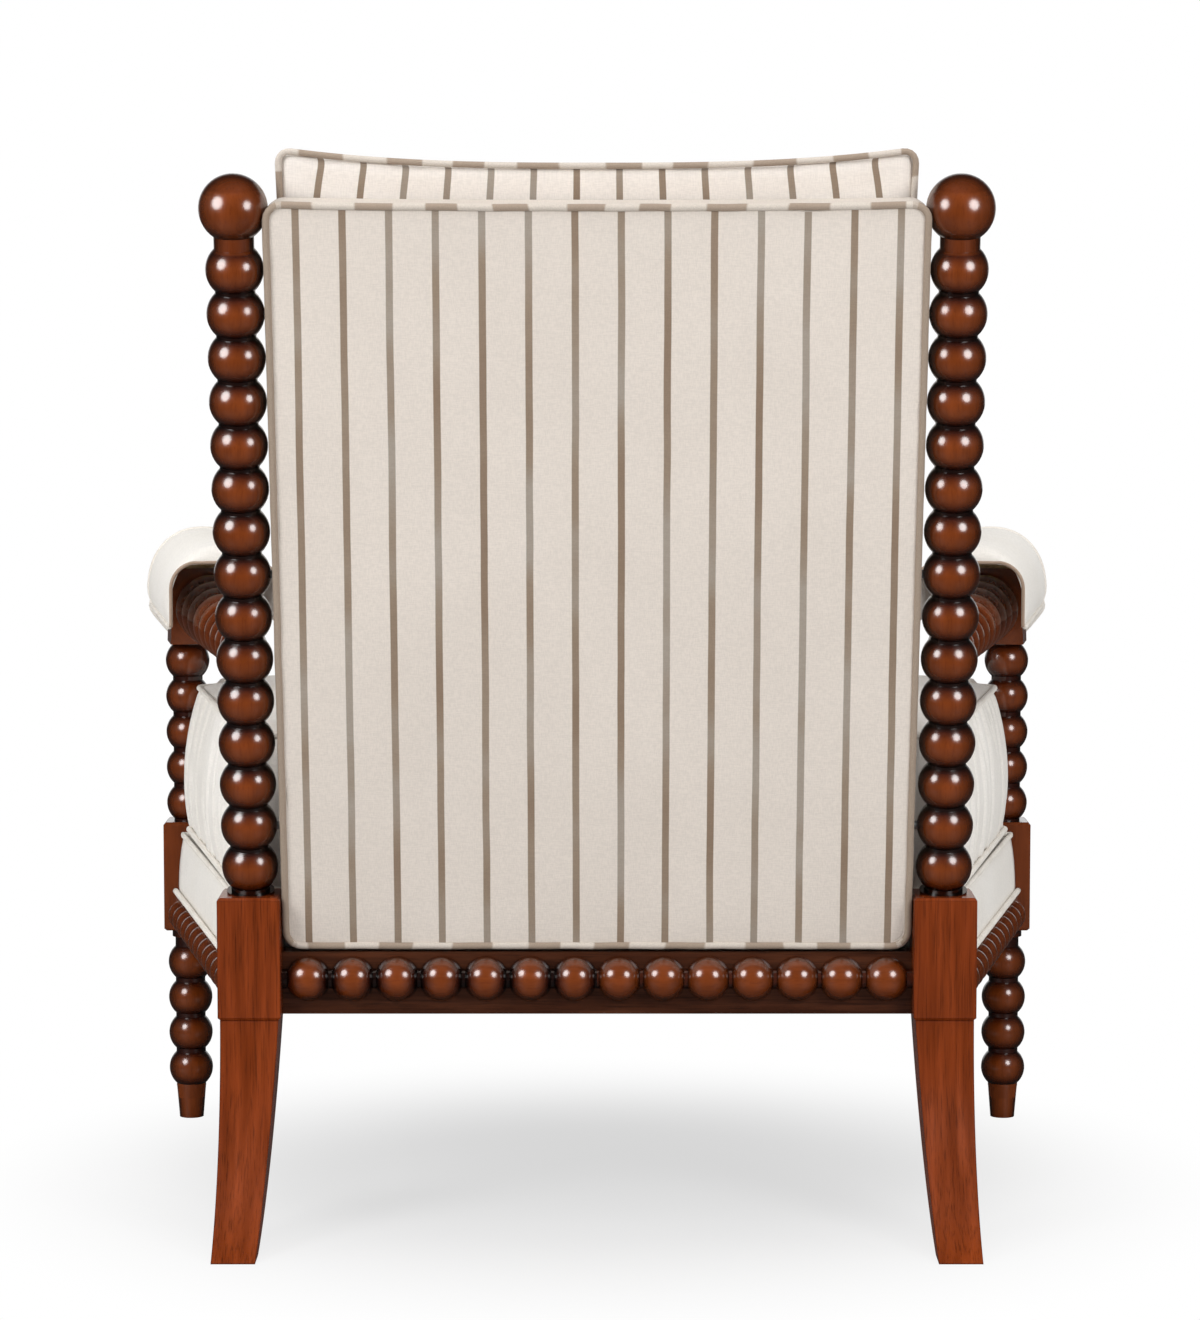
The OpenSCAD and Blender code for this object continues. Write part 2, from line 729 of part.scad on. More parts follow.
// Sinuous springs: one flat zigzag wire each, from the front rail to the batten
spring_y0 = front_y + rail_inset + 8;
spring_y1 = rear_y - rail_inset - rail_t - 8;
spring_turns = 22;
spring_half_w = 22;
spring_z = rail_top + 1.6;
function spring_x(i) = (i - (spring_count - 1) / 2) * (batten_w - 2 * spring_half_w - 16) / (spring_count - 1);
function spring_y(k) = spring_y0 + (spring_y1 - spring_y0) * k / spring_turns;
module spring() {
    step = (spring_y1 - spring_y0) / spring_turns;
    half = spring_wire / 2 * norm([2 * spring_half_w, step]) / step;
    side = [for (k = [0:spring_turns])
        (k == 0 || k == spring_turns) ? 0 : (k % 2 == 0 ? spring_half_w - half : half - spring_half_w)];
    left = [for (k = [0:spring_turns]) [side[k] - half, spring_y(k)]];
    right = [for (k = [spring_turns:-1:0]) [side[k] + half, spring_y(k)]];
    linear_extrude(spring_wire) polygon(concat(left, right));
}

module seat_springs() {
    color(steel) for (i = [0:spring_count - 1]) translate([spring_x(i), 0, spring_z]) spring();
}

// Clips that hold the springs' ends down on the rail and on the batten
clip_w = 14;
clip_l = 12;
clip_t = 1.2;
module spring_clip() {
    difference() {
        translate([-clip_w / 2, -clip_l / 2, 0]) cube([clip_w, clip_l, spring_wire + 1.4 + 2 * clip_t]);
        translate([-clip_w / 2 - 20, -clip_l / 2 + clip_t, clip_t])
            cube([clip_w + 40, clip_l, spring_wire + 1.4]);
    }
}

module spring_clips() {
    color(zinc) for (i = [0:spring_count - 1]) {
        translate([spring_x(i), spring_y0, rail_top + fit]) spring_clip();
        translate([spring_x(i), spring_y1, rail_top + fit]) mirror([0, 1, 0]) spring_clip();
    }
}

// Deck: foam on the springs under a padded linen cover with a border and two welts
function deck_side_x(y, out) = side_rear_x + (rear_block_front - y) * side_slope
    + (deck_out + out) / cos(90 + side_angle);
function deck_plan(out) =
    let (fx = front_x - front_block / 2 - fit - 0.3 + min(out, 0), rx = post_x - rear_block_w / 2 - fit - 0.3 - min(out, 0),
         fy = front_block_rear + fit + 0.3 - min(out, 0), ry = rear_block_front - fit - 0.3 + min(out, 0),
         right = [[fx, deck_front - out], [fx, fy], [deck_side_x(fy, out), fy], [deck_side_x(ry, out), ry],
             [rx, ry], [rx, deck_rear + min(out, 0)]])
    concat(right, [for (i = [len(right) - 1:-1:0]) [-right[i][0], right[i][1]]]);

module deck_cover() {
    color(linen) difference() {
        translate([0, 0, deck_bottom]) linear_extrude(deck_h) polygon(deck_plan(0));
        translate([0, 0, deck_bottom - 1]) linear_extrude(deck_h + 1 - deck_cover_t)
            polygon(deck_plan(-deck_cover_t));
        translate([-batten_w / 2, deck_rear - 2 * deck_cover_t, deck_bottom - 1])
            cube([batten_w, 4 * deck_cover_t, 1 + deck_pad_bottom - deck_bottom]);
    }
}

module deck_pad() {
    color(foam) translate([0, 0, deck_pad_bottom + clip_t])
        linear_extrude(deck_top - deck_cover_t - fit - deck_pad_bottom - clip_t)
        polygon(deck_plan(-deck_cover_t - fit));
}

module deck_top_welt() {
    color(linen) translate([0, 0, deck_top + welt_d / 2 + 0.1]) loop_cord(deck_plan(-welt_d * 0.75), welt_d);
}

// The lower welt runs along the border's foot in three lengths, at the front and at the sides
module deck_bottom_welt() {
    z = deck_bottom + welt_d / 2;
    clear = 0.3 + welt_d / 2;
    side_y0 = front_block_rear + 2;
    side_y1 = rear_block_front - 3;
    color(linen) {
        translate([-front_x + front_block / 2 + 2, deck_front - clear, z]) rotate([0, 90, 0])
            cylinder(d = welt_d, h = 2 * front_x - front_block - 4);
        for (m = [0, 1]) mirror([m, 0, 0]) on_side()
            translate([3, deck_out + clear, z]) rotate([0, 90, 0]) cylinder(d = welt_d, h = side_len - 5);
    }
}

// Thin cloth under the seat, stapled to the rails' undersides
module dust_cover() {
    t = 1.2;
    x0 = side_rear_x - rail_t / 2;
    x1 = side_front_x - rail_t / 2;
    block_in = front_x - front_block / 2 - 1;
    rear_in = post_x - rear_block_w / 2 - 1;
    right = [[block_in, front_y + rail_inset + 6], [block_in, front_block_rear + 1], [x1, front_block_rear + 1],
        [x0, rear_block_front - 1], [rear_in, rear_block_front - 1], [rear_in, rear_y - rail_inset - 6]];
    color("#2e2b2a") translate([0, 0, rail_bottom - t - 0.1]) linear_extrude(t)
        polygon(concat(right, [for (i = [len(right) - 1:-1:0]) [-right[i][0], right[i][1]]]));
}

// Fixed back, all of it drawn in the raked frame
module upright(w, y0, y1, z0, z1, r) {
    translate([0, y1, 0]) rotate([90, 0, 0]) linear_extrude(y1 - y0)
        polygon(rounded_rect(w, z0, z1 - z0, r, 5));
}

module left_back_stile() {
    color(beech) difference() {
        raked() intersection() {
            translate([stile_out - stile_w, stile_front, stile_bottom])
                cube([stile_w, stile_rear - stile_front, stile_top - stile_bottom]);
            upright(2 * stile_out, stile_front, stile_rear, stile_bottom, stile_top, back_corner_r - border_t);
        }
        bolt_bores(fit);
        for (i = bolt_rows) raked() translate([stile_out - stile_w - 1, 0, post_s(i)]) rotate([0, 90, 0])
            cylinder(d = bolt_head_d + 2, h = bolt_in + fit - stile_out + stile_w + 1);
    }
}

module right_back_stile() {
    mirrored() left_back_stile();
}

module back_cross_rail(z0) {
    color(beech) raked() translate([-stile_out + stile_w, stile_front, z0])
        cube([2 * (stile_out - stile_w), stile_rear - stile_front, stile_w]);
}

module back_top_rail() {
    back_cross_rail(stile_top - stile_w);
}

module back_bottom_rail() {
    back_cross_rail(stile_bottom);
}

// Woven straps: five upright ones and six across, tacked to the frame's front
module back_webbing() {
    strap = 50;
    span_h = stile_top - stile_bottom - 20;
    span_w = 2 * stile_out - 20;
    color(lining) raked() {
        for (i = [-2:2]) translate([i * 92 - strap / 2, stile_front - webbing_t - 0.1, stile_bottom + 10])
            cube([strap, webbing_t, span_h]);
        for (i = [0:5]) translate([-span_w / 2, stile_front - 2 * webbing_t - 0.2, stile_bottom + 46 + i * 108])
            cube([span_w, webbing_t, strap]);
    }
}

module inner_back() {
    color(linen) raked() upright(back_w - 2 * border_t - 2 * fit, -back_inner, -back_inner + inner_t,
        back_bottom_s + border_t + fit, back_top_s - border_t - fit, back_corner_r - border_t);
}

// Border of linen round the back's sides, top and bottom
module back_border() {
    color(linen) difference() {
        raked() difference() {
            upright(back_w, -back_inner, stile_rear, back_bottom_s, back_top_s, back_corner_r);
            upright(back_w - 2 * border_t, -back_inner - 1, stile_rear + 1, back_bottom_s + border_t,
                back_top_s - border_t, back_corner_r - border_t);
        }
        bolt_bores(fit);
        mirror([1, 0, 0]) bolt_bores(fit);
    }
}

module outside_back() {
    color(linen) raked() upright(back_w, stile_rear + fit, back_rear, back_bottom_s, back_top_s, back_corner_r);
}

module outside_back_welt() {
    color(taupe) raked() translate([0, back_rear - welt_d / 2 + 1, 0]) rotate([90, 0, 0])
        loop_cord(rounded_rect(back_w + welt_d + 0.4, back_bottom_s - welt_d / 2 - 0.2, back_h + welt_d + 0.4,
            back_corner_r + welt_d / 2, 5), welt_d);
}

// Bolts from inside the stiles through the border into the posts
module back_bolts() {
    color(steel) for (m = [0, 1]) mirror([m, 0, 0]) for (i = bolt_rows)
        raked() translate([bolt_in, 0, post_s(i)]) rotate([0, 90, 0]) {
            cylinder(d = bolt_d, h = post_x + 4 - bolt_in);
            translate([0, 0, -bolt_head_h]) cylinder(d = bolt_head_d, h = bolt_head_h, $fn = 6);
        }
}

// Arm pad: a board with a riser that stands on the arm block, and a stuffed saddle over it
pad_board_z = pad_roof + 0.3;
arm_screw_x = [-12, 12];
arm_screw_l = 46;
module arm_screw_holes(extra) {
    for (x = arm_screw_x) on_arm_block()
        translate([x, 0, pad_board_z + pad_board_t - arm_screw_l]) cylinder(d = screw_d + 2 * extra, h = arm_screw_l + 1);
}

module left_arm_board() {
    color(plywood) difference() {
        on_arm_block() union() {
            translate([-arm_block_l / 2 + 2, -pad_board_w / 2, pad_board_z])
                cube([pad_back + arm_block_l / 2 - 14, pad_board_w, pad_board_t]);
            translate([-arm_block_l / 2 + 2, -pad_board_w / 2 + 4, arm_block_up])
                cube([arm_block_l - 4, pad_board_w - 8, pad_board_z - arm_block_up + 1]);
        }
        arm_screw_holes(fit);
        for (x = arm_screw_x) on_arm_block() translate([x, 0, pad_board_z + pad_board_t - screw_head_l])
            cylinder(d = screw_head_d + 2 * fit, h = screw_head_l + 1);
    }
}

module right_arm_board() {
    mirrored() left_arm_board();
}

module arm_board_screws() {
    color(zinc) for (m = [0, 1]) mirror([m, 0, 0]) on_arm_block() for (x = arm_screw_x)
        translate([x, 0, pad_board_z + pad_board_t]) rotate([180, 0, 0]) {
            cylinder(d = screw_d, h = arm_screw_l);
            cylinder(d = screw_head_d, h = screw_head_l);
        }
}

// Section across the pad: a tall oval down to the hems
module pad_section() {
    n = 24;
    arch = [for (k = [0:n]) [pad_half_w * cos(180 * k / n), 12 + (pad_top - 12) * sin(180 * k / n)]];
    polygon(concat(arch, [[4 - pad_half_w, -pad_hem], [pad_half_w - 4, -pad_hem]]));
}

// Section of the channel that straddles the arm
module channel_section() {
    n = 6;
    r = 26;
    right = [for (k = [0:n]) [pad_channel - r + r * cos(90 * k / n), pad_roof - r + r * sin(90 * k / n)]];
    left = [for (k = [n:-1:0]) [-pad_channel + r - r * cos(90 * k / n), pad_roof - r + r * sin(90 * k / n)]];
    polygon(concat([[pad_channel, -pad_hem - 2]], right, left, [[-pad_channel, -pad_hem - 2]]));
}

// Side view of the pad, with both upper ends rounded over
module pad_profile() {
    n = 6;
    x0 = -arm_block_l / 2 - fit - pad_front;
    r0 = 26;
    r1 = 20;
    z = pad_top + 5;
    front = [for (k = [0:n]) [x0 + r0 - r0 * cos(90 * k / n), z - r0 + r0 * sin(90 * k / n)]];
    back = [for (k = [n:-1:0]) [pad_back - r1 + r1 * cos(90 * k / n), z - r1 + r1 * sin(90 * k / n)]];
    polygon(concat([[x0, -arm_block_down - 10]], front, back, [[pad_back, -arm_block_down - 10]]));
}

// Part of the pad's front that comes down before the arm block
module pad_cap_foot() {
    translate([-arm_block_l / 2 - fit - pad_front, 0, 0]) rotate([90, 0, 90]) linear_extrude(pad_front)
        polygon([[pad_half_w - 6, -pad_hem + 1], [-pad_half_w + 6, -pad_hem + 1], [-pad_half_w + 7, -8],
            [-pad_half_w + 17, -22], [-arm_block_w / 2 + 8, -arm_block_down],
            [arm_block_w / 2 - 8, -arm_block_down], [pad_half_w - 17, -22], [pad_half_w - 7, -8]]);
}

module left_arm_pad() {
    length = pad_back + arm_block_l / 2 + fit + pad_front;
    color(linen) on_arm_block() difference() {
        union() {
            intersection() {
                translate([pad_back - length, 0, 0]) rotate([90, 0, 90]) linear_extrude(length) pad_section();
                translate([0, 2 * pad_half_w, 0]) rotate([90, 0, 0]) linear_extrude(4 * pad_half_w) pad_profile();
            }
            pad_cap_foot();
        }
        translate([-arm_block_l / 2 - fit, 0, 0]) rotate([90, 0, 90])
            linear_extrude(length + 1) channel_section();
        translate([-arm_block_l / 2 + 1.7, -pad_board_w / 2 - 0.3, pad_roof - 1])
            cube([pad_back + arm_block_l / 2 - 13.4, pad_board_w + 0.6, pad_board_t + 1.6]);
    }
}

module right_arm_pad() {
    mirrored() left_arm_pad();
}

// Closed loop through corners, each side drawn in towards the middle by its bow, n points to a side
function bowed(corners, bows, n) = [
    for (i = [0:len(corners) - 1])
        let (a = corners[i], b = corners[(i + 1) % len(corners)], d = (b - a) / norm(b - a), inward = [-d[1], d[0]])
        for (k = [0:n - 1]) let (t = (k + 0.5) / n)
            a + (b - a) * t + inward * bows[i] * 4 * t * (1 - t)];

// Stuffed cushion: a boxed loop of height h that swells at its waist, with crowns above and below.
// Rings are the loop scaled about the origin, given as [scale, height]. The +Y side leans out by lean
// over the height, except near its ends at half width lean_w
module stuffed(loop, h, crown_top, crown_bottom, swell, lean, lean_w) {
    m = len(loop);
    rings = [[0.45, -crown_bottom], [0.8, -crown_bottom * 0.8], [0.94, -crown_bottom * 0.4], [1, 0],
        [1 + swell, h * 0.3], [1 + swell, h * 0.7], [1, h],
        [0.94, h + crown_top * 0.4], [0.8, h + crown_top * 0.8], [0.45, h + crown_top]];
    r = len(rings);
    points = concat([for (q = rings) for (p = loop)
            let (part = p[1] < 0 ? 0 : max(0, min(1, (lean_w - abs(p[0])) / 60)))
            [p[0] * q[0], (p[1] + lean * part * max(0, min(1, q[1] / h))) * q[0], q[1]]],
        [[0, 0, -crown_bottom * 1.02], [0, 0, h + crown_top * 1.04]]);
    faces = concat(
        [for (j = [0:r - 2]) for (k = [0:m - 1])
            let (a = j * m + k, b = j * m + (k + 1) % m, c = b + m, e = a + m) each [[a, c, b], [a, e, c]]],
        [for (k = [0:m - 1]) [r * m, k, (k + 1) % m]],
        [for (k = [0:m - 1]) [r * m + 1, (r - 1) * m + (k + 1) % m, (r - 1) * m + k]]);
    polyhedron(points, faces);
}

module seat_cushion() {
    mid_y = (seat_front_y + seat_rear_y) / 2;
    notch_y = front_block_rear + 6;
    half = [[seat_half_nose, seat_front_y - mid_y], [seat_half_nose, notch_y - mid_y],
        [seat_half_front, notch_y + 12 - mid_y], [seat_half_rear, seat_rear_y - mid_y]];
    corners = concat(half, [for (i = [3:-1:0]) [-half[i][0], half[i][1]]]);
    color(linen) translate([0, mid_y, seat_base])
        stuffed(bowed(corners, [1, 1, 5, 3, 5, 1, 1, 6], 8), seat_cushion_h, seat_crown, 4.5, 0.006, seat_lean, back_w / 2);
}

module back_cushion() {
    half_w = back_cushion_w / 2;
    half_h = back_cushion_h / 2;
    corners = [[-half_w, -half_h], [half_w, -half_h], [half_w, half_h], [-half_w, half_h]];
    color(linen) raked() translate([0, -back_cushion_rear, back_cushion_bottom + half_h]) rotate([90, 0, 0])
        stuffed(bowed(corners, [4, 5, back_sag, 5], 12), back_cushion_t, back_crown, 0, 0.004,
            -back_cushion_t * tan(post_rake), back_cushion_w);
}

left_back_post();
right_back_post();
left_rear_block();
right_rear_block();
left_rear_leg();
right_rear_leg();
left_front_leg();
right_front_leg();
left_arm_rail();
right_arm_rail();
front_rail();
rear_rail();
left_side_rail();
right_side_rail();
front_bobbin_strip();
rear_bobbin_strip();
left_bobbin_strip();
right_bobbin_strip();
corner_blocks();
corner_block_screws();
spring_batten();
seat_springs();
spring_clips();
deck_pad();
deck_cover();
deck_top_welt();
deck_bottom_welt();
dust_cover();
left_back_stile();
right_back_stile();
back_top_rail();
back_bottom_rail();
back_webbing();
inner_back();
back_border();
outside_back();
outside_back_welt();
back_bolts();
left_arm_board();
right_arm_board();
arm_board_screws();
left_arm_pad();
right_arm_pad();
seat_cushion();
back_cushion();
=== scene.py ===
# %% [markdown]
# # A spool-turned armchair, dressed
# The frame of this chair is turned hardwood: posts, legs and arms that look like strings of bobbins.
# The CAD model already has every hard part at its true size, so this script loads it and leaves it
# where it is. What is made here is what CAD can't draw well: cloth, stuffing, cord, and the finish on
# the wood. All lengths are in metres, and the sitter faces -Y.

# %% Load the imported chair
import math

import bpy
import numpy as np
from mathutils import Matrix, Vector, noise


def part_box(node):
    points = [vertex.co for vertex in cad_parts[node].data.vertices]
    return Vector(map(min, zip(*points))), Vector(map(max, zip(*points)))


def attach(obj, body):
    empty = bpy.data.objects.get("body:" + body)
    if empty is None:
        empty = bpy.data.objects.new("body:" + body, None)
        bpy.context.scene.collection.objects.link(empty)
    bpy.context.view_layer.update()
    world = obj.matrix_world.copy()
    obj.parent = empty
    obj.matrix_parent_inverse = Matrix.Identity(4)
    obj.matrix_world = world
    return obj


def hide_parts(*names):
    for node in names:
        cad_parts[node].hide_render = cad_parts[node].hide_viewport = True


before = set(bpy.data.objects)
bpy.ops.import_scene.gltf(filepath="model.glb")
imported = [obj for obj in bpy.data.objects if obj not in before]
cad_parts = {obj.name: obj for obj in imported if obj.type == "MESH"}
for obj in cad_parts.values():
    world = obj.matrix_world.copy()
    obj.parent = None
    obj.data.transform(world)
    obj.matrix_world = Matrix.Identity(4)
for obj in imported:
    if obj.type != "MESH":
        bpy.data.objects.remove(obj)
for name in ("Cube", "Light", "Camera"):
    if name in bpy.data.objects:
        bpy.data.objects.remove(bpy.data.objects[name])
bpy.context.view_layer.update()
print("CAD nodes:", len(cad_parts))

# %% [markdown]
# ## Sizes shared by several pieces
# An upholsterer works from the bare frame, so the sizes of the soft pieces come from the wooden
# ones. Most are read from the boxes of the CAD nodes. The back leans by 12 degrees, and everything
# on it is drawn upright in a leaning frame whose origin is on top of the square blocks.

# %% Leaning frame and arm frame
RAKE = math.radians(12)


def mm(value):
    """Millimetres to metres."""
    return value / 1000


block_low, block_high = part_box("left_rear_block")
POST_X = (block_low.x + block_high.x) / 2
POST_Y = (block_low.y + block_high.y) / 2
BLOCK_TOP = block_high.z


def leaning(x, y, z):
    """A point of the leaning back: x across, y to the rear, z up the posts."""
    return Vector((x, POST_Y + y * math.cos(RAKE) + z * math.sin(RAKE),
                   BLOCK_TOP - y * math.sin(RAKE) + z * math.cos(RAKE)))


leg_low, leg_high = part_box("left_front_leg")
LEG_X = (leg_low.x + leg_high.x) / 2
LEG_Y = (leg_low.y + leg_high.y) / 2
ARM_FRONT = Vector((LEG_X - mm(20), LEG_Y, mm(541)))
ARM_REAR = leaning(POST_X - mm(8.5), 0, mm(227.55))
ARM_TURN = math.atan2(ARM_REAR.y - ARM_FRONT.y, ARM_REAR.x - ARM_FRONT.x)


def on_arm(side, along, across, up):
    """A point of an arm pad: along to the rear, across inwards, up. side is 1 for left, -1 for right."""
    x = ARM_FRONT.x + along * math.cos(ARM_TURN) - across * math.sin(ARM_TURN)
    y = ARM_FRONT.y + along * math.sin(ARM_TURN) + across * math.cos(ARM_TURN)
    return Vector((side * x, y, ARM_FRONT.z + up))


print("post at", round(POST_X, 4), round(POST_Y, 4), "arm turns", round(math.degrees(ARM_TURN), 2))

# %% [markdown]
# ## Camera
# The photograph was taken from straight behind, at the height of the shoulders of the chair, with a
# long lens tilted down a little, so that the posts hardly converge. The focal length and the tilt were
# found from the spacing of the bobbins near and far.

# %% Camera
DISTANCE = 3.820
TILT = math.radians(5.44)
camera_data = bpy.data.cameras.new("camera")
camera_data.sensor_fit = "VERTICAL"
camera_data.sensor_height = 36
camera_data.lens = 114.545
camera_data.shift_x = 0.00227
camera_data.clip_end = 100
camera = bpy.data.objects.new("camera", camera_data)
camera.location = (0, POST_Y + mm(32) + DISTANCE, 0.8988)
camera.rotation_euler = (math.radians(90) - TILT, 0, math.radians(180))
bpy.context.scene.collection.objects.link(camera)
bpy.context.scene.camera = camera
print("camera at", tuple(round(v, 3) for v in camera.location))

# %% [markdown]
# ## Nodes and colours
# A procedural material is a small network. One function adds a node, with its settings and its
# links, and another turns the hex colours that a paint chart gives into the linear values that
# Blender's shaders want.

# %% Helpers for materials


def colour(code):
    """An sRGB hex colour as linear RGBA."""
    parts = [int(code[i:i + 2], 16) / 255 for i in (1, 3, 5)]
    return tuple(c / 12.92 if c <= 0.04045 else ((c + 0.055) / 1.055) ** 2.4 for c in parts) + (1,)


def add(tree, kind, given=None):
    """Adds one shader node. kind is its type, with its operation where it has one. given holds its
    properties, its socket values and its links, each from a socket or from a node's first output."""
    kind, _, operation = kind.partition(" ")
    made = tree.nodes.new("ShaderNode" + kind)
    if operation:
        made.operation = operation
    for name, value in (given or {}).items():
        if isinstance(value, (bpy.types.Node, bpy.types.NodeSocket)):
            tree.links.new(getattr(value, "outputs", [value])[0], made.inputs[name])
        elif isinstance(name, str) and hasattr(made, name):
            setattr(made, name, value)
        else:
            made.inputs[name].default_value = value
    return made


def span(low, high, start=0.0, end=1.0):
    """Settings of a Map Range node that takes low to high over to start to end."""
    return {"From Min": low, "From Max": high, "To Min": start, "To Max": end}


def ramp(tree, source, stops):
    """A colour ramp through (position, hex) stops."""
    made = add(tree, "ValToRGB", {"Fac": source})
    elements = made.color_ramp.elements
    while len(elements) < len(stops):
        elements.new(0.5)
    for element, (position, code) in zip(elements, stops):
        element.position = position
        element.color = colour(code)
    return made.outputs["Color"]


def surface(tree, shader, base, tone, height, strength, depth):
    """Gives a shader its base colour, scaled by tone, and raises height as a bump."""
    tint = add(tree, "VectorMath SCALE", {0: base, "Scale": tone})
    tree.links.new(tint.outputs[0], shader.inputs["Base Color"])
    bump = add(tree, "Bump", {"Strength": strength, "Distance": depth, "Height": height})
    tree.links.new(bump.outputs[0], shader.inputs["Normal"])


def start_material(name, **sockets):
    """A material with a Principled shader. Returns the material, its tree and the shader."""
    material = bpy.data.materials.new(name)
    material.use_nodes = True
    tree = material.node_tree
    shader = tree.nodes["Principled BSDF"]
    for socket, value in sockets.items():
        shader.inputs[socket.replace("_", " ")].default_value = value
    return material, tree, shader


# %% [markdown]
# ## Floor
# The chair stands on a seamless white studio sweep. For the camera the light grey paint is mixed
# with pure white, wholly so from 0.66 m out, and only a soft shadow is left. In reflections the
# floor is darker, which keeps the undersides of the bobbins dark.

# %% Floor
floor_material, tree, shader = start_material("painted_white_studio_floor", Roughness=0.6, IOR=1.45)
rays = add(tree, "LightPath")
paint = add(tree, "Mix", {"data_type": "RGBA", 6: colour("#cdcdcd"), 7: colour("#3a3a3a"),
            0: rays.outputs["Is Glossy Ray"]})
tree.links.new(paint.outputs[2], shader.inputs["Base Color"])
place = add(tree, "TexCoord").outputs["Object"]
away = add(tree, "VectorMath LENGTH", {0: place})
faded = add(tree, "MapRange", {"interpolation_type": "SMOOTHSTEP", **span(0.22, 0.66, 0.62, 1.0),
            "Value": away.outputs["Value"]})
sweep = add(tree, "Math MULTIPLY", {0: rays.outputs["Is Camera Ray"], 1: faded})
white = add(tree, "Emission", {"Color": (1, 1, 1, 1), "Strength": 1.0})
both = add(tree, "MixShader", {0: sweep, 1: shader, 2: white})
tree.links.new(both.outputs[0], tree.nodes["Material Output"].inputs["Surface"])
floor_mesh = bpy.data.meshes.new("studio_floor")
floor_mesh.from_pydata([(-12, -12, 0), (12, -12, 0), (12, 12, 0), (-12, 12, 0)], [], [(0, 1, 2, 3)])
floor_mesh.materials.append(floor_material)
floor = bpy.data.objects.new("studio_floor", floor_mesh)
bpy.context.scene.collection.objects.link(floor)
print("floor made")

# %% [markdown]
# ## World and lamps
# Two round lamps, left and right between the camera and the chair, light its rear. Two larger
# softboxes near them are seen only in the lacquer, and put the two highlights on every bobbin: a
# highlight sits where the ball's surface faces halfway between lens and lamp, which gave their
# places. A soft panel overhead and two weak lamps at the sides fill in. The world is white to the
# camera and at half strength as light. In reflections it is white only straight ahead of the
# camera, beyond the chair, and nearly black elsewhere.

# %% World and lamps
world = bpy.data.worlds.new("studio")
bpy.context.scene.world = world
world.use_nodes = True
tree = world.node_tree
tree.nodes.clear()
rays = add(tree, "LightPath")
facing = add(tree, "SeparateXYZ", {0: add(tree, "TexCoord").outputs["Generated"]})
sweep = add(tree, "MapRange", {**span(-0.98, -0.8, 1.0, 0.03), "Value": facing.outputs["Y"]})
mirrored = add(tree, "Math MULTIPLY", {0: rays.outputs["Is Glossy Ray"], 1: sweep})
clear = add(tree, "Math MAXIMUM",
            {0: rays.outputs["Is Camera Ray"], 1: rays.outputs["Is Transmission Ray"]})
seen = add(tree, "Math MAXIMUM", {0: clear, 1: mirrored})
around = add(tree, "Math MULTIPLY", {1: 0.5, 0: rays.outputs["Is Diffuse Ray"]})
strength = add(tree, "Math MAXIMUM", {0: seen, 1: around})
sky = add(tree, "Background", {"Color": (1, 1, 1, 1), "Strength": strength})
add(tree, "OutputWorld", {"Surface": sky})


def lamp(name, place, size, watts, lights=True, mirrored=False):
    """A round soft lamp that faces the chair. It lights the surfaces, or is mirrored in the gloss of the
    wood.
    """
    data = bpy.data.lights.new(name, "AREA")
    data.shape = "DISK"
    data.size = size
    data.energy = watts
    made = bpy.data.objects.new(name, data)
    made.location = place
    made.rotation_euler = (Vector((0, 0, 0.5)) - Vector(place)).to_track_quat("-Z", "Y").to_euler()
    made.visible_diffuse = lights
    made.visible_glossy = mirrored
    bpy.context.scene.collection.objects.link(made)
    return made


lamp("lamp_left", (1.55, 1.35, 1.36), 0.72, 16)
lamp("lamp_right", (-1.35, 1.60, 1.22), 0.64, 11.5)
lamp("lamp_over", (0, 0.9, 3.2), 2.6, 40)
lamp("softbox_left", (1.50, 1.31, 1.33), 1.05, 34, lights=False, mirrored=True)
lamp("softbox_right", (-1.31, 1.55, 1.20), 0.92, 26, lights=False, mirrored=True)
lamp("fill_left", (2.4, 0.25, 0.95), 1.2, 6)
lamp("fill_right", (-2.4, 0.25, 0.95), 1.2, 6)

# %% [markdown]
# ## Mahogany stain on turned hardwood
# The posts are a pale hardwood such as birch or rubberwood, stained red-brown, glazed dark in the
# grooves and lacquered to a satin gloss; the lacquered surface has an IOR of 1.46. The colour follows
# the distance from the turning's own axis and goes near-black in the grooves: partly glazing that
# stays thick where the rag can't reach, partly painted shade in the creases between the balls.
# Every ball is also painted darker towards its rims and lighter in its middle, painted shade and
# painted light that follow the direction of view. The pores draw fine dark lines along the grain.

# %% Finish of the turned and sawn wood
# GROOVE and DEEP, the dark end of the turned wood, are partly glazing and partly painted shade in the
# creases.
GROOVE, DEEP, WARM, BELLY = "#1c0602", "#3a1205", "#5a2406", "#74340d"
ACROSS = (0, math.radians(90), 0)
ALONG = (math.radians(90), 0, 0)


def grain(tree, local, pore_mm, length_mm, through=1.0):
    """Streaks along local Z: two noises, fine pores and broad bands, each 0 to 1. A low through
    carries them through the depth of a board, so that a curved face doesn't cut across them."""
    streaks = []
    for wide, long, detail in ((pore_mm, length_mm, {"Detail": 3.0, "Roughness": 0.6}),
                               (pore_mm * 7, length_mm * 3, {"Detail": 2.0})):
        per_metre = (1 / mm(wide), through / mm(wide), 1 / mm(long))
        scaled = add(tree, "VectorMath MULTIPLY", {0: local, 1: per_metre})
        streaks.append(add(tree, "TexNoise", {"Scale": 1.0, **detail, "Vector": scaled}))
    return streaks


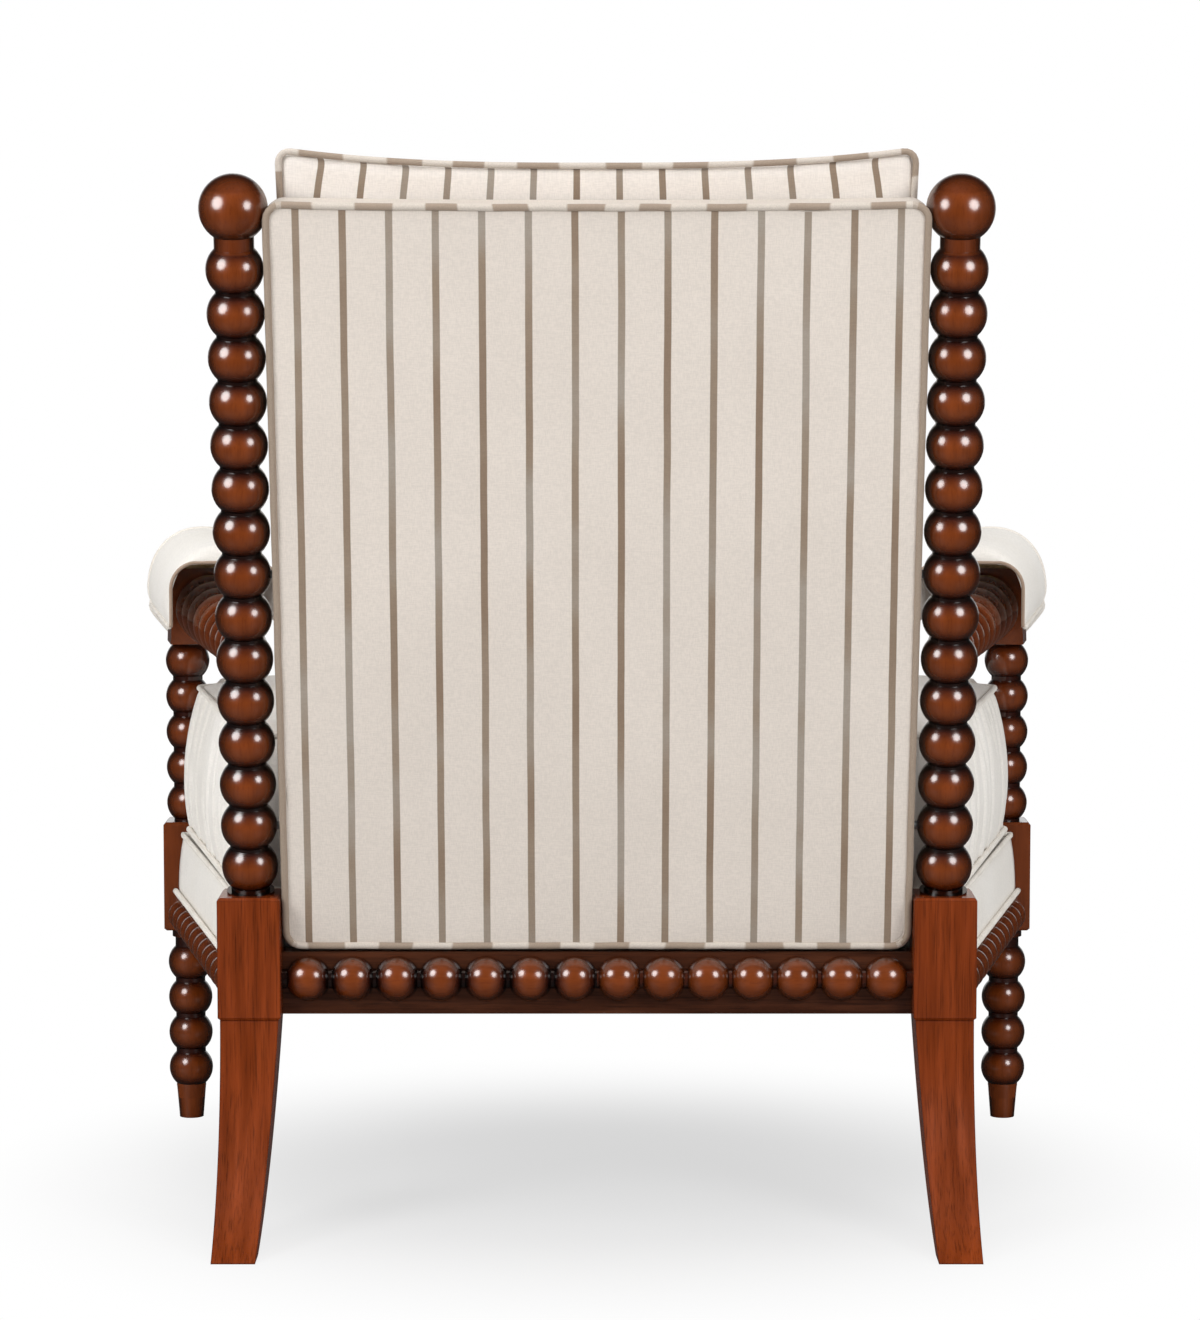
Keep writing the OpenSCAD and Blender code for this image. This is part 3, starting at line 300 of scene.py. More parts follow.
def finish_wood(tree, shader, base, pores, bands, rim_shade_mask=None, rim=0.26, pore=0.80):
    """Darkens the pores, varies the stain, and sets gloss and bump. On the turned faces it also paints
    shade and light: the colour is darker where the surface is seen at a slant, most at the rims of the
    balls, and a little lighter in their middles."""
    streak = add(tree, "MapRange", {**span(0.30, 0.50, pore, 1.0), "Value": pores})
    blotch = add(tree, "MapRange", {**span(0.3, 0.7, 0.84, 1.12), "Value": bands})
    shade = add(tree, "Math MULTIPLY", {0: streak, 1: blotch})
    if rim_shade_mask is not None:
        # Painted shade at the rims and painted light in the middle, from the angle between surface and
        # view.
        slant = add(tree, "LayerWeight", {"Blend": 0.5}).outputs["Facing"]
        painted_rim_shade = add(tree, "MapRange", {**span(0.03, 0.55, 1.2, rim), "Value": slant})
        painted_rim_shade = add(tree, "Mix", {"data_type": "FLOAT", 2: 1.0, 0: rim_shade_mask, 3: painted_rim_shade})
        shade = add(tree, "Math MULTIPLY", {0: shade, 1: painted_rim_shade})
    surface(tree, shader, base, shade, pores, 0.12, mm(0.3))
    rough = add(tree, "MapRange", {**span(0.3, 0.7, 0.19, 0.26), "Value": bands})
    tree.links.new(rough.outputs[0], shader.inputs["Roughness"])


def turned_mahogany(name, place, turn, radius, taper=0.0, low=0.62, mirror=True, peg=0.0, ball=9.0,
                    rim=0.26, square=1.04):
    """Stained wood that darkens towards the axis through place, turned by turn (local Z is the axis);
    the dark is partly glazing and partly painted shade in the grooves.
    Below the height peg the piece is thinner and still polished, and ball is the height of the middle
    of a whole ball. Further out than square times the radius it is a flat face."""
    material, tree, shader = start_material(name, IOR=1.46, Coat_Weight=0.7, Coat_Roughness=0.18)
    coords = add(tree, "TexCoord").outputs["Object"]
    if mirror:
        split = add(tree, "SeparateXYZ", {0: coords})
        size = add(tree, "Math ABSOLUTE", {0: split.outputs["X"]})
        coords = add(tree, "CombineXYZ", {"X": size, "Y": split.outputs["Y"], "Z": split.outputs["Z"]})
    local = add(tree, "Mapping", {"vector_type": "TEXTURE", "Location": place, "Rotation": turn,
                "Vector": coords})
    part = add(tree, "SeparateXYZ", {0: local})
    flat = add(tree, "CombineXYZ", {"X": part.outputs["X"], "Y": part.outputs["Y"]})
    out = add(tree, "VectorMath LENGTH", {0: flat})
    full = add(tree, "Math MULTIPLY_ADD", {1: taper, 2: radius, 0: part.outputs["Z"]})
    below = add(tree, "Math LESS_THAN", {1: peg, 0: part.outputs["Z"]})
    full = add(tree, "Math MULTIPLY_ADD", {1: -0.4 * radius, 0: below, 2: full})
    ratio = add(tree, "Math DIVIDE", {0: out.outputs["Value"], 1: full})
    # Painted shade: with the glazing, the colour darkens towards the axis into the creases between the
    # balls.
    depth = add(tree, "MapRange", {**span(low, 0.98), "Value": ratio})
    above = add(tree, "MapRange", {**span(ball - mm(41), ball - mm(38), 0.0, 0.8),
                "Value": part.outputs["Z"]})
    depth = add(tree, "Math MAXIMUM", {0: depth, 1: above})
    base = ramp(tree, depth, [(0.0, GROOVE), (0.25, DEEP), (0.62, WARM), (0.97, BELLY)])
    pores, bands = grain(tree, local, 1.6, 22)
    turned = add(tree, "Math LESS_THAN", {1: square, 0: ratio})
    turned = add(tree, "Math MAXIMUM", {0: turned, 1: above})
    finish_wood(tree, shader, base, pores, bands, rim_shade_mask=turned, rim=rim)
    return material


def sawn(name, turn, tones, stops, pore_mm, length_mm, through=1.0, pore=0.80):
    """Wood cut square, grain along local Z. Returns the material, its tree and its shader."""
    material, tree, shader = start_material(name, IOR=1.46)
    coords = add(tree, "TexCoord").outputs["Object"]
    local = add(tree, "Mapping", {"vector_type": "TEXTURE", "Rotation": turn, "Vector": coords})
    pores, bands = grain(tree, local, pore_mm, length_mm, through)
    finish_wood(tree, shader, ramp(tree, bands, list(zip(stops, tones))), pores, bands, pore=pore)
    return material, tree, shader


def sawn_mahogany(name, turn=(0, 0, 0), tones=("#752f0c", "#88390f")):
    """Stained wood of a square piece, darker along its edges."""
    material, tree, shader = sawn(name, turn, tones, (0.25, 0.75), 1.3, 45, through=0.12, pore=0.55)
    # The colour is darker along every edge of the piece, down to 0.3 at the edge.
    rounded = add(tree, "Bevel", {"samples": 4, "Radius": mm(2.2)})
    flat = add(tree, "NewGeometry")
    bent = add(tree, "VectorMath DOT_PRODUCT", {0: rounded, 1: flat.outputs["Normal"]})
    darker_edges = add(tree, "MapRange", {**span(0.72, 0.99, 0.3, 1.0), "Value": bent.outputs["Value"]})
    stained = shader.inputs["Base Color"].links[0].from_socket
    edged = add(tree, "VectorMath SCALE", {0: stained, "Scale": darker_edges})
    tree.links.new(edged.outputs[0], shader.inputs["Base Color"])
    return material


def give(material, *nodes):
    """Puts a material on CAD nodes."""
    for name in nodes:
        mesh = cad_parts[name].data
        mesh.materials.clear()
        mesh.materials.append(material)


post_foot = leaning(POST_X, 0, 0)
finial_centre = (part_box("left_back_post")[1].z - BLOCK_TOP) / math.cos(RAKE) - mm(31)
give(turned_mahogany("stained_turned_post", post_foot, (-RAKE, 0, 0), mm(26), low=0.7,
                     ball=finial_centre), "left_back_post", "right_back_post")
give(turned_mahogany("stained_turned_front_leg", (LEG_X, LEG_Y, 0), (0, 0, 0), mm(22.7), peg=mm(36)),
     "left_front_leg", "right_front_leg")
arm_line = ARM_REAR - ARM_FRONT
arm_angles = arm_line.to_track_quat("Z", "Y").to_euler()
give(turned_mahogany("stained_turned_arm", ARM_FRONT, arm_angles, mm(37), taper=-0.031, low=0.7,
                     rim=0.85), "left_arm_rail", "right_arm_rail")
for word, flat_side, radius, low in (("rear", 0, mm(21.2), 0.58), ("front", 1, mm(17), 0.5)):
    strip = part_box(word + "_bobbin_strip")
    place = (0, strip[flat_side].y, (strip[0].z + strip[1].z) / 2)
    give(turned_mahogany("stained_" + word + "_strip", place, ACROSS, radius, low=low, mirror=False,
                         square=9.0), word + "_bobbin_strip")
strip_low, strip_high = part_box("left_bobbin_strip")
side_line = (Vector((block_high.x - mm(15), block_low.y, 0)),
             Vector((LEG_X + mm(24.5 - 19.5), LEG_Y + mm(24.5), 0)))
side_axis = (side_line[1] - side_line[0]).normalized()
place = (side_line[0].x, side_line[0].y, (strip_low.z + strip_high.z) / 2)
give(turned_mahogany("stained_side_strip", place, side_axis.to_track_quat("Z", "Y").to_euler(), mm(17),
                     low=0.5, rim=0.7), "left_bobbin_strip", "right_bobbin_strip")
give(sawn_mahogany("stained_square_block"), "left_rear_block", "right_rear_block",
     "left_rear_leg", "right_rear_leg")
give(sawn_mahogany("stained_rail", ACROSS, ("#3d1d0f", "#552c17")), "rear_rail")
print("wood finished")

# %% [markdown]
# ## Hidden frame: beech, plywood, jute and steel
# Under the cover is a plain sawn beech frame, steel springs and jute straps. They are seen
# only when the chair is taken apart, but each still gets its real surface.

# %% Finish of the hidden pieces


def sawn_wood(name, tones, turn=(0, 0, 0)):
    """Bare sawn wood, without gloss."""
    material, tree, shader = sawn(name, turn, tones, (0.3, 0.7), 1.5, 60)
    tree.links.remove(shader.inputs["Roughness"].links[0])
    shader.inputs["Roughness"].default_value = 0.7
    return material


def mottled(name, dark, light, size_mm, **sockets):
    """A surface that varies between two colours over patches of one size."""
    material, tree, shader = start_material(name, **sockets)
    coords = add(tree, "TexCoord").outputs["Object"]
    patches = add(tree, "TexNoise", {"Scale": 1 / mm(size_mm), "Detail": 4.0, "Vector": coords})
    base = ramp(tree, patches, [(0.3, dark), (0.7, light)])
    tree.links.new(base, shader.inputs["Base Color"])
    bump = add(tree, "Bump", {"Strength": 0.2, "Distance": mm(0.3), "Height": patches})
    tree.links.new(bump.outputs[0], shader.inputs["Normal"])
    return material


BEECH = "#b98a5a", "#d0a674"
give(sawn_wood("sawn_beech_upright", BEECH), "left_back_stile", "right_back_stile")
give(sawn_wood("sawn_beech_across", BEECH, ACROSS),
     "back_top_rail", "back_bottom_rail", "front_rail", "spring_batten", "corner_blocks")
give(sawn_wood("sawn_beech_along", BEECH, ALONG), "left_side_rail", "right_side_rail")
give(sawn_wood("birch_plywood", ("#c9a878", "#e0c79a"), ALONG), "left_arm_board", "right_arm_board")
give(mottled("oiled_spring_steel", "#4b4e52", "#6c7075", 6, Metallic=1.0, Roughness=0.42),
     "seat_springs")
give(mottled("zinc_plated_steel", "#a9adb0", "#c5c9cb", 3, Metallic=1.0, Roughness=0.35),
     "corner_block_screws", "arm_board_screws", "spring_clips", "back_bolts")
give(mottled("woven_jute", "#7f6c50", "#a08b6b", 1.4, Roughness=0.9), "back_webbing")
print("hidden pieces finished")

# %% [markdown]
# ## Linen
# The cover is a plain-weave linen: warp and weft threads of about 0.4 mm, with thicker slubs.
# Single threads are finer than a pixel of the render, so the weave is drawn at about 1 mm, and the
# slubs up to 26 mm long. The striped cloth has woven taupe bands 6.4 mm wide, 41 mm apart. Some
# bands are browner and some greyer along their length. Cloth scatters light at grazing angles,
# which a little sheen gives.

# %% Linen materials
STRIPE_STEP = mm(41.0)
STRIPE_WIDTH = mm(6.4)
STRIPE_DRIFT = mm(0.7)


def linen(name, light, shadow, stripes=None):
    """Plain-weave linen. stripes names the vertex attribute that counts metres across the cloth."""
    material, tree, shader = start_material(name, Roughness=0.92, IOR=1.45, Specular_IOR_Level=0.25,
                                            Sheen_Weight=0.12, Sheen_Roughness=0.6)
    coords = add(tree, "TexCoord").outputs["Object"]
    normal = add(tree, "NewGeometry").outputs["Normal"]
    facing = add(tree, "SeparateXYZ", {0: normal})
    level = add(tree, "Math ABSOLUTE", {0: facing.outputs["Z"]})
    lying = add(tree, "MapRange", {**span(0.6, 0.75), "Value": level})

    def threads(scale):
        per_metre = tuple(1 / mm(s) for s in scale)
        stretched = add(tree, "VectorMath MULTIPLY", {1: per_metre, 0: coords})
        return add(tree, "TexNoise", {"Scale": 1.0, "Detail": 1.5, "Roughness": 0.5,
                   "Vector": stretched})

    upright = add(tree, "Math ADD", {0: threads((1.0, 1.0, 26)), 1: threads((6, 6, 1.0))})
    flat = add(tree, "Math ADD", {0: threads((1.3, 14, 14)), 1: threads((14, 1.3, 14))})
    weave = add(tree, "Mix", {"data_type": "FLOAT", 0: lying, 2: upright, 3: flat})
    tone = add(tree, "MapRange", {**span(0.78, 1.22, 0.95, 1.045), "Value": weave})
    cloud = add(tree, "TexNoise", {"Scale": 6.0, "Detail": 3.0, "Vector": coords})
    base = ramp(tree, cloud, [(0.3, shadow), (0.7, light)])
    if stripes:
        across = add(tree, "Attribute", {"attribute_name": stripes}).outputs["Fac"]
        wander = add(tree, "VectorMath MULTIPLY", {1: (20, 20, 9), 0: coords})
        drift = add(tree, "TexNoise", {"Scale": 1.0, "Detail": 1.0, "Vector": wander})
        drift = add(tree, "MapRange", {**span(0, 1, -STRIPE_DRIFT, STRIPE_DRIFT), "Value": drift})
        moved = add(tree, "Math ADD", {0: across, 1: drift})
        away = add(tree, "Math PINGPONG", {1: STRIPE_STEP / 2, 0: moved})
        edge = STRIPE_STEP / 2 - STRIPE_WIDTH / 2
        band = add(tree, "MapRange", {**span(edge - mm(0.25), edge + mm(0.25)), "Value": away})
        lot = add(tree, "Math DIVIDE", {1: STRIPE_STEP, 0: across})
        lot = add(tree, "Math FLOOR", {0: lot})
        place = add(tree, "SeparateXYZ", {0: coords})
        reach = add(tree, "CombineXYZ", {"X": lot, "Z": place.outputs["Z"]})
        reach = add(tree, "VectorMath MULTIPLY", {1: (7.3, 1, 7.0), 0: reach})
        dye = add(tree, "TexNoise", {"Scale": 1.0, "Detail": 2.0, "Vector": reach})
        taupe = ramp(tree, dye, [(0.38, "#8b7663"), (0.5, "#948270"), (0.62, "#a1968a")])
        base = add(tree, "Mix", {"data_type": "RGBA", 0: band, 6: base, 7: taupe}).outputs[2]
    surface(tree, shader, base, tone, weave, 0.35, mm(0.35))
    return material


PLAIN_LINEN = linen("plain_linen", "#efebe5", "#e9e4dc")
STRIPED_LINEN = linen("striped_linen", "#e2d8ce", "#dcd2c8", stripes="across")
# The sides of the back's border are a dark taupe: partly the cloth's taupe stripe, partly painted shade
# of the gap beside the posts.
PAINTED_SHADE_BORDER_LINEN = linen("taupe_border_linen_painted_shade", "#85786b", "#73675b")
BORDER_TOP_LINEN = linen("pale_border_linen", "#cfc5ba", "#c6bbb0")
# The back cushion is the same striped linen as the back, painted lighter: painted light.
PAINTED_LIGHT_CUSHION_LINEN = linen("striped_cushion_linen_painted_light", "#f1eae3", "#ece4dc", stripes="across")
LINING = linen("linen_lining", "#b09a89", "#9f8876")
print("linen made")


def welt_linen(name, light, taupe, step_mm, share):
    """Linen wrapped round a cord. Stripes of the cloth cross it every step_mm, covering that share."""
    material, tree, shader = start_material(name, Roughness=0.9, IOR=1.45, Specular_IOR_Level=0.25,
                                            Sheen_Weight=0.1)
    along = add(tree, "Attribute", {"attribute_name": "along"}).outputs["Fac"]
    coords = add(tree, "TexCoord").outputs["Object"]
    slow = add(tree, "TexNoise", {"Scale": 9.0, "Detail": 0.0, "Vector": coords})
    slow = add(tree, "MapRange", {**span(0.0, 1.0, mm(-18), mm(18)), "Value": slow})
    moved = add(tree, "Math ADD", {0: along, 1: slow})
    turn = add(tree, "Math PINGPONG", {1: mm(step_mm) / 2, 0: moved})
    edge = mm(step_mm) / 2 * (1 - share)
    band = add(tree, "MapRange", {**span(edge - mm(1), edge + mm(1)), "Value": turn})
    base = add(tree, "Mix", {"data_type": "RGBA", 6: colour(light), 7: colour(taupe),
               0: band}).outputs[2]
    fine = add(tree, "TexNoise", {"Scale": 1 / mm(1.2), "Detail": 2.0, "Vector": coords})
    tone = add(tree, "MapRange", {**span(0.3, 0.7, 0.92, 1.06), "Value": fine})
    surface(tree, shader, base, tone, fine, 0.4, mm(0.4))
    return material


STRIPED_WELT = welt_linen("striped_welt_linen", "#cdc3b8", "#a08f7f", 66, 0.5)
PLAIN_WELT = welt_linen("plain_welt_linen", "#e9e3da", "#e4ddd3", 90, 0.3)

# %% [markdown]
# ## Mesh helpers
# Sewn pieces are drawn the way they are cut: as rings of points that are joined in order. A welt is
# a cord wrapped in cloth, so it is a tube swept along the seam, and it keeps the length along the
# seam in an attribute, which its material reads.

# %% Rings and cords


def new_piece(name, points, faces, material):
    """A smooth mesh object from points and faces."""
    mesh = bpy.data.meshes.new(name)
    mesh.from_pydata([tuple(p) for p in points], [], faces)
    mesh.materials.append(material)
    mesh.shade_smooth()
    mesh.update()
    piece = bpy.data.objects.new(name, mesh)
    bpy.context.scene.collection.objects.link(piece)
    return piece


def joined_rings(rings):
    """Faces between rings of equal length that follow each other in the point list."""
    n = len(rings[0])
    return [(j * n + k, j * n + (k + 1) % n, (j + 1) * n + (k + 1) % n, (j + 1) * n + k)
            for j in range(len(rings) - 1) for k in range(n)]


def loft(name, rings, material, cap="fan"):
    """A skin over closed rings. Its ends are closed by a fan, by a strip between the two sides of a
    folded ring, or left open."""
    n = len(rings[0])
    assert all(len(ring) == n for ring in rings), name
    points = [p for ring in rings for p in ring]
    faces = joined_rings(rings)
    last = len(points) - n
    if cap == "fan":
        points.append(sum(rings[0], Vector()) / n)
        points.append(sum(rings[-1], Vector()) / n)
        faces += [(len(points) - 2, (k + 1) % n, k) for k in range(n)]
        faces += [(len(points) - 1, last + k, last + (k + 1) % n) for k in range(n)]
    if cap == "strip":
        faces += [(k + 1, k, n - 1 - k, n - 2 - k) for k in range(n // 2 - 1)]
        faces += [(last + k, last + k + 1, last + n - 2 - k, last + n - 1 - k) for k in range(n // 2 - 1)]
    return new_piece(name, points, faces, material)


def cord_along(name, path, radius, material, closed=True, sides=10):
    """A round cord along a path of points."""
    count = len(path)
    points, lengths = [], []
    travelled = 0.0
    first = None
    for i, p in enumerate(path):
        ahead = path[(i + 1) % count] if closed or i < count - 1 else p
        behind = path[i - 1] if closed or i > 0 else p
        forward = (ahead - behind).normalized()
        if first is None:
            first = forward.orthogonal().normalized()
        first = (first - forward * first.dot(forward)).normalized()
        second = forward.cross(first)
        for k in range(sides):
            a = 2 * math.pi * k / sides
            points.append(p + (first * math.cos(a) + second * math.sin(a)) * radius)
            lengths.append(travelled)
        travelled += (path[(i + 1) % count] - p).length
    rings = [points[i * sides:(i + 1) * sides] for i in range(count)]
    faces = joined_rings(rings)
    if closed:
        last = (count - 1) * sides
        near = min(range(sides), key=lambda s: (points[last] - points[s]).length)
        faces += [(last + k, last + (k + 1) % sides, (k + 1 + near) % sides, (k + near) % sides)
                  for k in range(sides)]
    else:
        points += [path[0], path[-1]]
        lengths += [0.0, travelled]
        end = (count - 1) * sides
        faces += [(count * sides, (k + 1) % sides, k) for k in range(sides)]
        faces += [(count * sides + 1, end + k, end + (k + 1) % sides) for k in range(sides)]
    piece = new_piece(name, points, faces, material)
    along = piece.data.attributes.new("along", "FLOAT", "POINT")
    along.data.foreach_set("value", lengths)
    return piece


def rounded_loop(width, low, high, radius, step=mm(8), sag=0.0, pinch=0.0):
    """(x, z) points round a rectangle with rounded corners, its top sagging and its sides pinched in."""
    half = width / 2
    corners = [(half, low), (half, high), (-half, high), (-half, low)]
    loop = []
    for q in range(4):
        ax, az = corners[q]
        bx, bz = corners[(q + 1) % 4]
        length = math.hypot(bx - ax, bz - az)
        ux, uz = (bx - ax) / length, (bz - az) / length
        n = round((mm(690), mm(570))[q % 2] / step)
        for k in range(n + 1):
            d = radius + (length - 2 * radius) * k / n
            loop.append((ax + ux * d, az + uz * d))
        cx, cz = bx - ux * radius - uz * radius, bz - uz * radius + ux * radius
        for k in range(1, 5):
            a = math.pi / 2 * k / 5
            loop.append((cx + uz * radius * math.cos(a) + ux * radius * math.sin(a),
                         cz - ux * radius * math.cos(a) + uz * radius * math.sin(a)))
    out = []
    for x, z in loop:
        t = abs(x) / half
        v = (z - low) / (high - low)
        z -= sag * (1 - t ** 2.8) * max(0.0, (v - 0.5) * 2) ** 2
        x -= math.copysign(pinch * 4 * v * (1 - v), x) * t ** 2
        out.append((x, z))
    return out


def count_across(piece, across):
    """Stores metres across the cloth on every vertex, from a function of its place."""
    attribute = piece.data.attributes.new("across", "FLOAT", "POINT")
    attribute.data.foreach_set("value", [across(v.co) for v in piece.data.vertices])


def settle(piece, body, *replaced, fill=None, flat=None, slot="plain_linen"):
    """Fixes a finished piece to its body and hides the CAD parts that it replaces."""
    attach(piece, body)
    if replaced:
        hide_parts(*replaced)
    print(piece.name, len(piece.data.vertices), "points")


def welt(name, path, radius, material, body, *replaced, closed=True, slot="plain_linen"):
    """A cord that is fixed to a body."""
    cord = cord_along(name, path, radius, material, closed)
    settle(cord, body, *replaced, slot=slot)


# %% [markdown]
# ## Fixed back
# The back is boxed: an outside panel, a border round the sides and a padded inner face, with a
# welt sewn between panel and border. The panel is stretched over the frame, so it is nearly flat,
# but it rolls in at the welt and ripples a little along the seam.

# %% Outside back, border, inner back
BACK_W = mm(568)
BACK_LOW, BACK_HIGH = mm(-43), mm(648)
BACK_SAG = mm(2.6)
BACK_R = mm(12)
REAR_FACE = mm(20)
PANEL_FACE = REAR_FACE - mm(2.2)
PANEL_EDGE = mm(15.8)
PANEL_OVER = mm(1.2)


def widened(x, z):
    """The back is a little wider at its top."""
    return x * (1.004 + 0.012 * (z - BACK_LOW) / (BACK_HIGH - BACK_LOW))


panel_rings = []
for inset, rise in [(0.0, 0.0), (0.0, 0.45), (0.6, 0.8), (2.0, 0.95), (5.0, 1.0), (12, 1.0), (30, 1.0),
                    (70, 1.0), (120, 1.0), (180, 1.0), (240, 1.0)]:
    cut = mm(inset) - PANEL_OVER
    loop = rounded_loop(BACK_W - 2 * cut, BACK_LOW + cut, BACK_HIGH - cut,
                        max(BACK_R - mm(inset) * 0.5, mm(3)), sag=BACK_SAG)
    crown = mm(1.8) * (1 - (1 - min(inset, 150) / 150) ** 2)
    ring = []
    for x, z in loop:
        ripple = mm(0.7) * noise.noise(Vector((x * 30, z * 30, 3.1))) * math.exp(-inset / 30)
        depth = PANEL_EDGE + (PANEL_FACE - PANEL_EDGE) * rise + crown + ripple * rise
        ring.append(leaning(widened(x, z), depth, z))
    panel_rings.append(ring)
outside_back = loft("outside_back_panel", panel_rings, STRIPED_LINEN)
count_across(outside_back, lambda p: p.x * (1 + 0.010 * (p.z - 0.62)) + mm(1.15) + STRIPE_STEP * 20)
settle(outside_back, "chair", "outside_back", flat=(BACK_W + mm(40), BACK_HIGH - BACK_LOW + mm(40)),
       slot="striped_linen")

border_rings = []
for depth, out in [(-29.5, -2.5), (-30, -0.5), (-27, 1.5), (-15, 4.0), (0, 4.8), (8, 4.4), (13, 3.0),
                   (17, 0.5), (17.6, -2.5)]:
    over = mm(min(out, 0))
    loop = rounded_loop(BACK_W + 2 * mm(out), BACK_LOW - over, BACK_HIGH + over, BACK_R, sag=BACK_SAG)
    border_rings.append([leaning(widened(x, z), mm(depth), z) for x, z in loop])
back_border = loft("back_side_border", border_rings, PAINTED_SHADE_BORDER_LINEN, cap="none")
back_border.data.materials.append(BORDER_TOP_LINEN)
# The faces that look sideways take that dark taupe with its painted shade; the top and bottom take the
# pale linen.
for face in back_border.data.polygons:
    face.material_index = int(abs(face.normal.x) < 0.5)
settle(back_border, "chair", "back_border", flat=(mm(60), 2 * (BACK_W + BACK_HIGH - BACK_LOW)),
       slot="striped_linen")

inner_rings = []
for inset, depth in [(3.4, -14.2), (3.4, -24), (4.5, -28.5), (8, -29.8), (16, -29.9), (60, -29.9),
                     (140, -29.9), (230, -29.9)]:
    loop = rounded_loop(BACK_W - 2 * mm(inset), BACK_LOW + mm(inset), BACK_HIGH - mm(inset),
                        max(BACK_R - mm(inset), mm(3)), sag=BACK_SAG)
    inner_rings.append([leaning(x, mm(depth), z) for x, z in reversed(loop)])
inner_back = loft("inner_back_pad", inner_rings, PLAIN_LINEN)
settle(inner_back, "chair", "inner_back", fill=0.9)

welt_path = []
for x, z in rounded_loop(BACK_W + mm(4.0), BACK_LOW - mm(2.0), BACK_HIGH + mm(2.0), BACK_R + mm(2),
                         step=mm(5), sag=BACK_SAG):
    wobble = mm(0.5) * noise.noise(Vector((x * 40, z * 40, 0.7)))
    welt_path.append(leaning(widened(x, z) + math.copysign(wobble, x), PANEL_FACE, z + wobble))
outside_welt = cord_along("outside_back_cord", welt_path, mm(3.3), STRIPED_WELT)
counted = outside_welt.data.attributes["along"].data
for v in outside_welt.data.vertices:
    if abs(v.co.x) > BACK_W / 2 - mm(4):
        counted[v.index].value = mm(33)
settle(outside_welt, "chair", "outside_back_welt", slot="striped_linen")

# %% [markdown]
# ## Loose cushions
# A loose cushion is a boxed bag stuffed tighter than it is cut. The bag is drawn as cut, turned
# into an even mesh, and blown up by Cloth with its seams held, so that each panel crowns between the
# seams. A cap keeps it within the space that the frame leaves.

# %% Stuffing by cloth


VOXEL = mm(6)
CLOTH = {"quality": 5, "mass": 0.3, "use_pressure": True, "uniform_pressure_force": 4.0,
         "tension_stiffness": 12, "compression_stiffness": 12, "bending_stiffness": 0.6,
         "vertex_group_mass": "seams"}
STEPS = 20


def apply(piece, kind, **settings):
    """Adds a modifier and applies it."""
    bpy.context.view_layer.objects.active = piece
    made = piece.modifiers.new(kind, kind)
    for key, value in settings.items():
        setattr(made, key, value)
    bpy.ops.object.modifier_apply(modifier=made.name)


def puff(piece, stuffing, cap, held):
    """Stuffs a closed piece. stuffing(place, normal) gives its first fill, then Cloth presses it out.
    cap gives the furthest move of a place by Cloth, held says which places stay."""
    apply(piece, "REMESH", mode="VOXEL", voxel_size=VOXEL)
    filled = [v.co + stuffing(v.co, v.normal) for v in piece.data.vertices]
    for v, place in zip(piece.data.vertices, filled):
        v.co = place
    piece.data.update()
    rest = np.array([v.co for v in piece.data.vertices])
    pins = piece.vertex_groups.new(name="seams")
    pins.add([i for i, co in enumerate(rest) if held(co)], 1.0, "ADD")
    cloth = piece.modifiers.new("cloth", "CLOTH")
    for key, value in CLOTH.items():
        setattr(cloth.settings, key, value)
    cloth.settings.effector_weights.gravity = 0
    cloth.collision_settings.use_collision = False
    scene = bpy.context.scene
    for step in range(1, STEPS + 1):
        scene.frame_set(step)
    shaped = piece.evaluated_get(bpy.context.evaluated_depsgraph_get())
    moved = np.array([v.co for v in shaped.data.vertices]) - rest
    size = np.linalg.norm(moved, axis=1)
    limit = np.array([cap(co) for co in rest])
    kept = limit * np.tanh(size / np.maximum(limit, 1e-6))
    moved *= (kept / np.maximum(size, 1e-9))[:, None]
    piece.modifiers.remove(cloth)
    scene.frame_set(1)
    piece.data.vertices.foreach_set("co", (rest + moved).ravel())
    piece.data.update()
    print(piece.name, "puffed by up to", round(float(kept.max()) * 1000, 1), "mm")


def subdivide(piece):
    """One subdivision, applied."""
    apply(piece, "SUBSURF", levels=1, render_levels=1)
    piece.data.shade_smooth()


# %% [markdown]
# ### Back cushion
# Its bag stands between the posts and shows above the back. Its corners are pulled up into
# ears and its top edge sags between them. The welts follow the two seam loops.

# %% Back cushion
CUSHION_LOW, CUSHION_HIGH = mm(148), mm(689)
CUSHION_W = mm(570)
CUSHION_REAR = mm(-31)
CUSHION_T = mm(92)


def cushion_loop(inset, drop, radius=mm(11), step=mm(10)):
    """The seam loop of the back cushion, its top lowered by drop."""
    return rounded_loop(CUSHION_W - 2 * inset, CUSHION_LOW + inset, CUSHION_HIGH - inset - drop,
                        radius, step, sag=mm(14), pinch=mm(6))


def rolled(height):
    """How far the rear of the bag rolls forward near its top."""
    return mm(10) * max(0.0, (height - CUSHION_HIGH + mm(90)) / mm(90)) ** 1.5


lean_drop = CUSHION_T * math.tan(RAKE)
cushion_rings = [[leaning(x, CUSHION_REAR - rolled(z) * (1 - t) - CUSHION_T * t, z)
                  for x, z in cushion_loop(mm(3), lean_drop * t)] for t in np.linspace(0, 1, 9).tolist()]
back_cushion = loft("back_cushion_bag", cushion_rings, PAINTED_LIGHT_CUSHION_LINEN)


def leaning_depth(co):
    """How far a place lies behind the posts' plane, and its height up the rake."""
    y, z = co[1] - POST_Y, co[2] - BLOCK_TOP
    return y * math.cos(RAKE) - z * math.sin(RAKE), y * math.sin(RAKE) + z * math.cos(RAKE)


